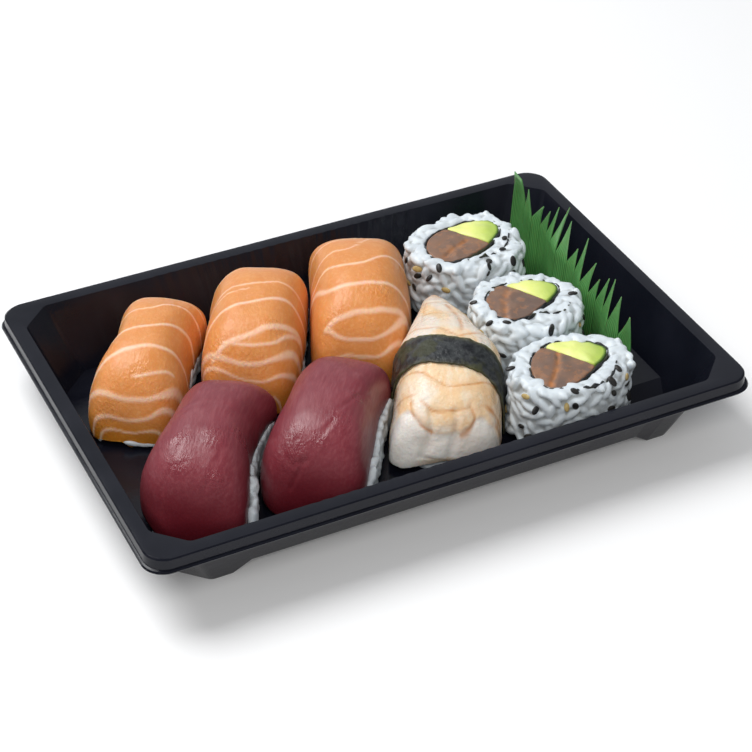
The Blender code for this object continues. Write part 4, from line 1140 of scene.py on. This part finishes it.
avocado, tree, shader, coordinates = start_material(
    "avocado", Subsurface_Weight=0.2, Subsurface_Scale=0.0015, Coat_Weight=0.1, Coat_Roughness=0.3,
    Subsurface_Radius=(0.8, 1.0, 0.3))
ripe = mask_value("ripe")
skin = mask_value("skin")
uneven = place_group(mottle, Scale=220.0, Contrast=0.4)
flesh = mixed(uneven, (0.80, 0.86, 0.24), (0.87, 0.92, 0.33))
flesh = mixed(ripe, flesh, (0.27, 0.47, 0.025))
flesh = mixed(skin, flesh, (0.025, 0.065, 0.010))
paint(flesh)
vary("Roughness", uneven, 0.35, 0.5)
add_bump(uneven, 0.0003, 0.5)


def seaweed_sheet(name, course, closed, low, high, seed, rag, thickness):
    """An upright sheet along a course, its upper edge ragged and its run slightly crumpled."""
    step = np.roll(course, -1, axis=0) - np.roll(course, 1, axis=0) if closed else np.gradient(course, axis=0)
    step /= np.linalg.norm(step, axis=1, keepdims=True)
    outward = np.stack([step[:, 1], -step[:, 0]], -1)
    torn = high + rag * MM * lumps(level_row(course, 0.0), 1.4 * MM, seed)
    rows = []
    for share in np.linspace(0.0, 1.0, 13):
        row = np.column_stack([course, low + share * (torn - low)])
        row[:, :2] += outward * (0.2 * MM * lumps(row, 2.2 * MM, seed + 2))[:, None]
        rows.append(row)
    points, faces = closed_skin(np.array(rows))
    faces = faces[:-2]
    if not closed:
        faces = [face for face in faces if abs(face[0] - face[1]) == 1]
    piece = mesh_piece(name, points, faces, seaweed)
    solid = piece.modifiers.new("Solidify", "SOLIDIFY")
    solid.thickness = thickness
    solid.offset = 0.0
    settle(piece)
    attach(piece, "root")
    return piece


def filling(name, outline, crown, material, seed, creases=()):
    """A filling drawn up through the roll, its cut face domed, uneven and creased."""
    middle = outline.mean(axis=0)
    face = ROLL_TOP - CUT_FACE
    rows = [level_row(outline, FOOD_LEVEL), level_row(outline, face - 0.7 * MM)]
    for share in FILLING_STEPS:
        row = level_row(middle + (outline - middle) * share, face + crown * (1.0 - share ** 2))
        row[:, 2] += 0.35 * MM * lumps(row, 3.0 * MM, seed)
        for crease in creases:
            gap = near_line(row[:, 0] / MM, row[:, 1] / MM, crease)
            row[:, 2] -= 0.55 * MM * np.exp(-(gap / 0.7) ** 2)
        rows.append(row)
    points, faces = closed_skin(np.array(rows))
    piece = mesh_piece(name, points, faces, material)
    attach(piece, "root")
    return piece, points


black_seeds = []
tan_seeds = []
for number, form in enumerate(ROLLS, start=1):
    centre = np.array(form["centre"]) * MM
    draw = random.Random(form["seed"])
    waves = [(order, size, draw.uniform(0.0, math.tau)) for order, size in ROLL_WAVES]
    hole = ring_outline(form["ring"], RING_THICKNESS + GAP)
    rows = [level_row(hole, FOOD_LEVEL)]
    for share, grow, twist in ROLL_LEVELS:
        rows.append(level_row(lumpy_outline(form, waves, grow, twist), FOOD_LEVEL + ROLL_HEIGHT * share))
    rows.append(level_row(hole, ROLL_TOP - 0.7 * MM))
    spots = []
    side_line = lumpy_outline(form, waves, -0.6, 0.3)
    for grain in range(GRAINS_ROUND_ROLL):
        outside = side_line[int(grain * GOLDEN_SHARE * ROLL_POINTS) % ROLL_POINTS]
        share = 0.04 + 0.88 * grain / GRAINS_ROUND_ROLL + draw.uniform(-0.03, 0.03)
        height = FOOD_LEVEL + ROLL_HEIGHT * share
        turn = Euler((0.0, draw.uniform(-1.4, 1.4), math.atan2(*(outside - centre)[::-1]) + math.pi / 2))
        place = outside + (centre - outside) * draw.uniform(0.0, 0.045)
        spots.append((GRAIN_SIZE * draw.uniform(0.9, 1.25), (*place, height), turn))
    top_line = lumpy_outline(form, waves, -2.2, 0.4)
    for grain in range(GRAINS_ON_TOP):
        on = int(grain * GOLDEN_SHARE * ROLL_POINTS) % ROLL_POINTS
        place = hole[on] + (top_line[on] - hole[on]) * draw.uniform(0.15, 1.0)
        turn = Euler((draw.uniform(-0.15, 0.15), draw.uniform(-0.12, 0.12), draw.uniform(0.0, math.pi)))
        depth = draw.uniform(1.0, 1.6) * MM
        spots.append((GRAIN_SIZE * draw.uniform(0.9, 1.25), (*place, ROLL_TOP - depth), turn))
    core = closed_skin(np.array(rows), ring=True)
    rice = pressed_rice(f"rolled_rice_{number}", core, spots, boiled_rice, ROLL_VOXEL)
    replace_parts(rice, f"roll_rice_{number}")

    surface = BVHTree.FromPolygons([vertex.co for vertex in rice.data.vertices],
                                   [polygon.vertices for polygon in rice.data.polygons])
    aims = [(x * MM, y * MM, ROLL_TOP + 1.0 * MM) for x, y in form["black"]]
    for seed in range(SEEDS_ROUND_ROLL):
        outside = centre + (side_line[int(draw.random() * ROLL_POINTS)] - centre) * 1.1
        aims.append((*outside, FOOD_LEVEL + ROLL_HEIGHT * draw.uniform(0.15, 0.9)))
    for seed, aim in enumerate(aims):
        place, normal, _, _ = surface.find_nearest(aim)
        turn = normal.to_track_quat("Z", "X") @ Euler((0.0, 0.0, draw.uniform(0.0, math.tau))).to_quaternion()
        spot = (SEED_SIZE * draw.uniform(0.85, 1.15), place + normal * 0.12 * MM, turn.to_euler())
        (tan_seeds if seed >= len(form["black"]) and seed % 5 < 2 else black_seeds).append(spot)

    course = ring_outline(form["ring"], RING_THICKNESS / 2)
    ring = seaweed_sheet(f"seaweed_ring_{number}", course, True, FOOD_LEVEL, ROLL_TOP - CUT_FACE, number,
                         RING_RAG, RING_SHEET)
    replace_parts(ring, f"roll_seaweed_{number}")
    seaweed_sheet(f"seaweed_tail_{number}", smooth_course(form["tail"]) * MM, False, ROLL_TOP - TAIL_DEPTH,
                  ROLL_TOP, number + 3, TAIL_RAG, TAIL_SHEET)

    inside = ring_outline(form["ring"], -SEAM_GAP)
    seam_turn = math.radians(form["seam_turn"])
    normal = np.array((-math.sin(seam_turn), math.cos(seam_turn)))
    seam = np.mean(form["ring"], axis=0) * MM + normal * form["seam_shift"] * MM
    salmon_part = softened(clipped(inside, seam - normal * SEAM_GAP, -normal), 4)
    avocado_part = softened(clipped(inside, seam + normal * SEAM_GAP, normal), 7)
    crease = smooth_course(form["crease"])
    piece, points = filling(f"salmon_filling_{number}", salmon_part, FILLING_CROWN_SALMON, roll_salmon,
                            number, [crease])
    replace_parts(piece, f"roll_salmon_{number}")
    # the crease's brighter orange, broken up by noise, is partly the flesh's own line and partly painted
    # highlight
    gap = near_line(points[:, 0] / MM, points[:, 1] / MM, crease)
    set_mask(piece, "crease", np.exp(-(gap / 0.9) ** 2) * (0.45 + 0.9 * lumps(points, 2.2 * MM, 4)))

    piece, points = filling(f"avocado_wedge_{number}", avocado_part, FILLING_CROWN_AVOCADO, avocado,
                            number + 6)
    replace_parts(piece, f"roll_avocado_{number}")
    to_right = points[:, :2] @ np.array((0.90, -0.44))
    to_right = (to_right - to_right.min()) / np.ptp(to_right)
    to_rim = np.array([np.linalg.norm(inside - point, axis=1).min() for point in points[:, :2]])
    rim = soft_step(to_rim, 1.3 * MM, 0.3 * MM)
    ripe = 0.75 * soft_step(to_right, 0.35, 1.0) + 0.35 * rim * soft_step(to_right, 0.2, 0.8)
    set_mask(piece, "ripe", ripe)
    set_mask(piece, "skin", rim * soft_step(to_right, 0.45, 0.9))

for material, spots in ((sesame_black, black_seeds), (sesame_tan, tan_seeds)):
    points, faces = scattered(spots, 3)
    seeds = mesh_piece(material.name, points, faces.tolist(), material)
    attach(seeds, "root")

# Plastic grass. A strip of thin green film, cut along its top into uneven blades, stands on edge
# between the rolls and the right wall and leans out over it. Fine ribs run up the film.

GRASS_BACK = (75.0, 49.0)
GRASS_FRONT = (66.3, -38.5)
GRASS_THICKNESS = 0.3 * MM
# each blade: where it starts and ends at the foot, its tip's place and height, and its lean
GRASS_BLADES = (
    (49.0, 40.0, 45.8, 30.0, 0.6), (40.0, 33.0, 37.5, 29.5, 2.0), (33.0, 28.0, 28.0, 28.5, 2.5),
    (28.0, 24.0, 24.5, 28.5, 2.5), (24.0, 19.5, 24.0, 29.5, 6.0), (19.5, 14.0, 22.5, 29.5, 10.5),
    (14.0, 8.0, 16.5, 28.5, 8.0), (8.0, 2.5, 6.0, 25.5, 4.0), (2.5, -3.5, 4.5, 29.5, 8.0),
    (-3.5, -9.0, -6.5, 28.0, 5.5), (-9.0, -13.0, -11.5, 25.5, 3.5), (-13.0, -18.0, -16.0, 28.5, 4.0),
    (-18.0, -23.5, -18.5, 29.5, 6.0), (-23.5, -30.0, -26.0, 28.5, 4.5), (-30.0, -38.5, -35.0, 27.5, 1.5),
)
GRASS_VALLEY_BACK = 24.0
GRASS_VALLEY_FRONT = 19.0
BLADE_COLUMNS = 6
BLADE_ROWS = 18
RIB_PITCH = 0.9
FOOT_LEAN = 1.4
BLADE_CURL = 2.0

green_film, tree, shader, coordinates = start_material(
    "green_film", Subsurface_Weight=0.1, Subsurface_Scale=0.002, Specular_IOR_Level=0.5)
ribs = calculated("PINGPONG", mask_value("fibre"), 0.5)
uneven = place_group(mottle, Scale=120.0, Contrast=0.5)
tips = mask_value("tip")
film = mixed(uneven, (0.036, 0.150, 0.033), (0.056, 0.212, 0.048))
film = mixed(stretched(ribs, 0.2, 0.5, 0.0, 0.85), film, (0.16, 0.44, 0.13))
film = mixed(stretched(tips, 0.3, 1.0, 0.0, 0.55), film, (0.14, 0.36, 0.12))
paint(film)
vary("Roughness", uneven, 0.32, 0.5)
add_bump(ribs, 0.0003, 0.6)


def strip_share(along):
    return (along - GRASS_BACK[1]) / (GRASS_FRONT[1] - GRASS_BACK[1])


def strip_foot(along):
    straight = GRASS_BACK[0] + (GRASS_FRONT[0] - GRASS_BACK[0]) * strip_share(along)
    return straight + 0.7 * math.sin(along * 0.32)


points = []
faces = []
tips = []
fibres = []
for number, (start, end, tip_y, tip_height, lean) in enumerate(GRASS_BLADES):
    first = len(points)
    cut_through = number == 0
    centre = (start + end) / 2
    for row in range(BLADE_ROWS + 1):
        rise = row / BLADE_ROWS
        for column in range(BLADE_COLUMNS + 1):
            across = column / BLADE_COLUMNS
            foot_y = start + (end - start) * across
            valley = GRASS_VALLEY_BACK + (GRASS_VALLEY_FRONT - GRASS_VALLEY_BACK) * strip_share(foot_y)
            height = tip_height * rise
            above = max(0.0, (height - valley + 1.0) / (tip_height - valley + 1.0))
            narrow = max(0.02, 1.0 - above ** 0.8) if not cut_through else 1.0 - 0.4 * above
            y = centre + (tip_y - centre) * above ** 1.3 + (foot_y - centre) * narrow
            x = strip_foot(centre + (foot_y - centre) * narrow) + 0.15
            x += FOOT_LEAN * min(1.0, height / valley) + (lean - FOOT_LEAN) * above ** 1.2
            x += BLADE_CURL * above * narrow * (across - 0.5) ** 2
            points.append((x * MM, y * MM, FOOD_LEVEL + height * MM))
            tips.append(above)
            fibres.append((GRASS_BACK[1] - foot_y) / RIB_PITCH)
    for row in range(BLADE_ROWS):
        for column in range(BLADE_COLUMNS):
            here = first + row * (BLADE_COLUMNS + 1) + column
            faces.append((here, here + 1, here + BLADE_COLUMNS + 2, here + BLADE_COLUMNS + 1))
grass = mesh_piece("plastic_grass", points, faces, green_film)
set_mask(grass, "tip", np.array(tips))
grass.data.attributes.new("fibre", "FLOAT", "POINT").data.foreach_set("value", np.array(fibres, np.float32))
solid = grass.modifiers.new("Solidify", "SOLIDIFY")
solid.thickness = GRASS_THICKNESS
solid.offset = 0.0
settle(grass)
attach(grass, "root")
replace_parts(grass, "grass_divider")

# Stage. A plain pale floor, the main soft light above and behind the tray's left, a wide weak one
# behind its right, a fill from the front that gives no highlights, and a camera that looks down
# on the tray from its front left.

floor_material, tree, shader, coordinates = start_material("pale_floor", Roughness=0.9)
shader.inputs["Base Color"].default_value = (0.95, 0.95, 0.955, 1.0)
bpy.ops.mesh.primitive_plane_add(size=8.0, location=(0.0, 0.0, 0.0))
floor = bpy.context.object
floor.name = "pale_floor"
floor.data.materials.append(floor_material)


def soft_light(name, place, size, power, colour, target=(0.0, 0.0, 0.02)):
    light = bpy.data.lights.new(name, "AREA")
    light.shape = "DISK"
    light.size = size
    light.energy = power
    light.color = colour
    lamp = in_scene(name, light)
    lamp.location = place
    lamp.rotation_euler = (Vector(target) - Vector(place)).to_track_quat("-Z", "Y").to_euler()
    return lamp


soft_light("top_light", (-0.38, 0.48, 0.95), 0.75, 10.5, (0.99, 0.995, 1.0))
soft_light("back_light", (0.45, 1.15, 0.85), 1.6, 2.2, (0.90, 0.95, 1.0))
fill = soft_light("front_light", (-0.35, -0.95, 0.95), 1.0, 9.5, (1.0, 0.985, 0.96))
fill.visible_glossy = False

world = bpy.data.worlds.new("soft_room")
bpy.context.scene.world = world
world.use_nodes = True
world.node_tree.nodes["Background"].inputs["Color"].default_value = (0.93, 0.96, 1.0, 1.0)
world.node_tree.nodes["Background"].inputs["Strength"].default_value = 0.22

CAMERA_AZIMUTH = math.radians(-25.88)
CAMERA_ELEVATION = math.radians(37.03)
CAMERA_DISTANCE = 0.6117
CAMERA_TARGET = Vector((-5.21, -16.24, 23.0)) * MM
FRAME_PIXELS = 752
FOCAL_PIXELS = 2091.97

backward = Vector((math.sin(CAMERA_AZIMUTH) * math.cos(CAMERA_ELEVATION),
                   -math.cos(CAMERA_AZIMUTH) * math.cos(CAMERA_ELEVATION), math.sin(CAMERA_ELEVATION)))
camera_data = bpy.data.cameras.new("camera")
camera_data.sensor_width = 36.0
camera_data.lens = FOCAL_PIXELS / FRAME_PIXELS * camera_data.sensor_width
camera = in_scene("camera", camera_data)
camera.location = CAMERA_TARGET + backward * CAMERA_DISTANCE
camera.rotation_mode = "QUATERNION"
camera.rotation_quaternion = (-backward).to_track_quat("-Z", "Y")
bpy.context.scene.camera = camera
bpy.context.scene.view_settings.view_transform = "Standard"
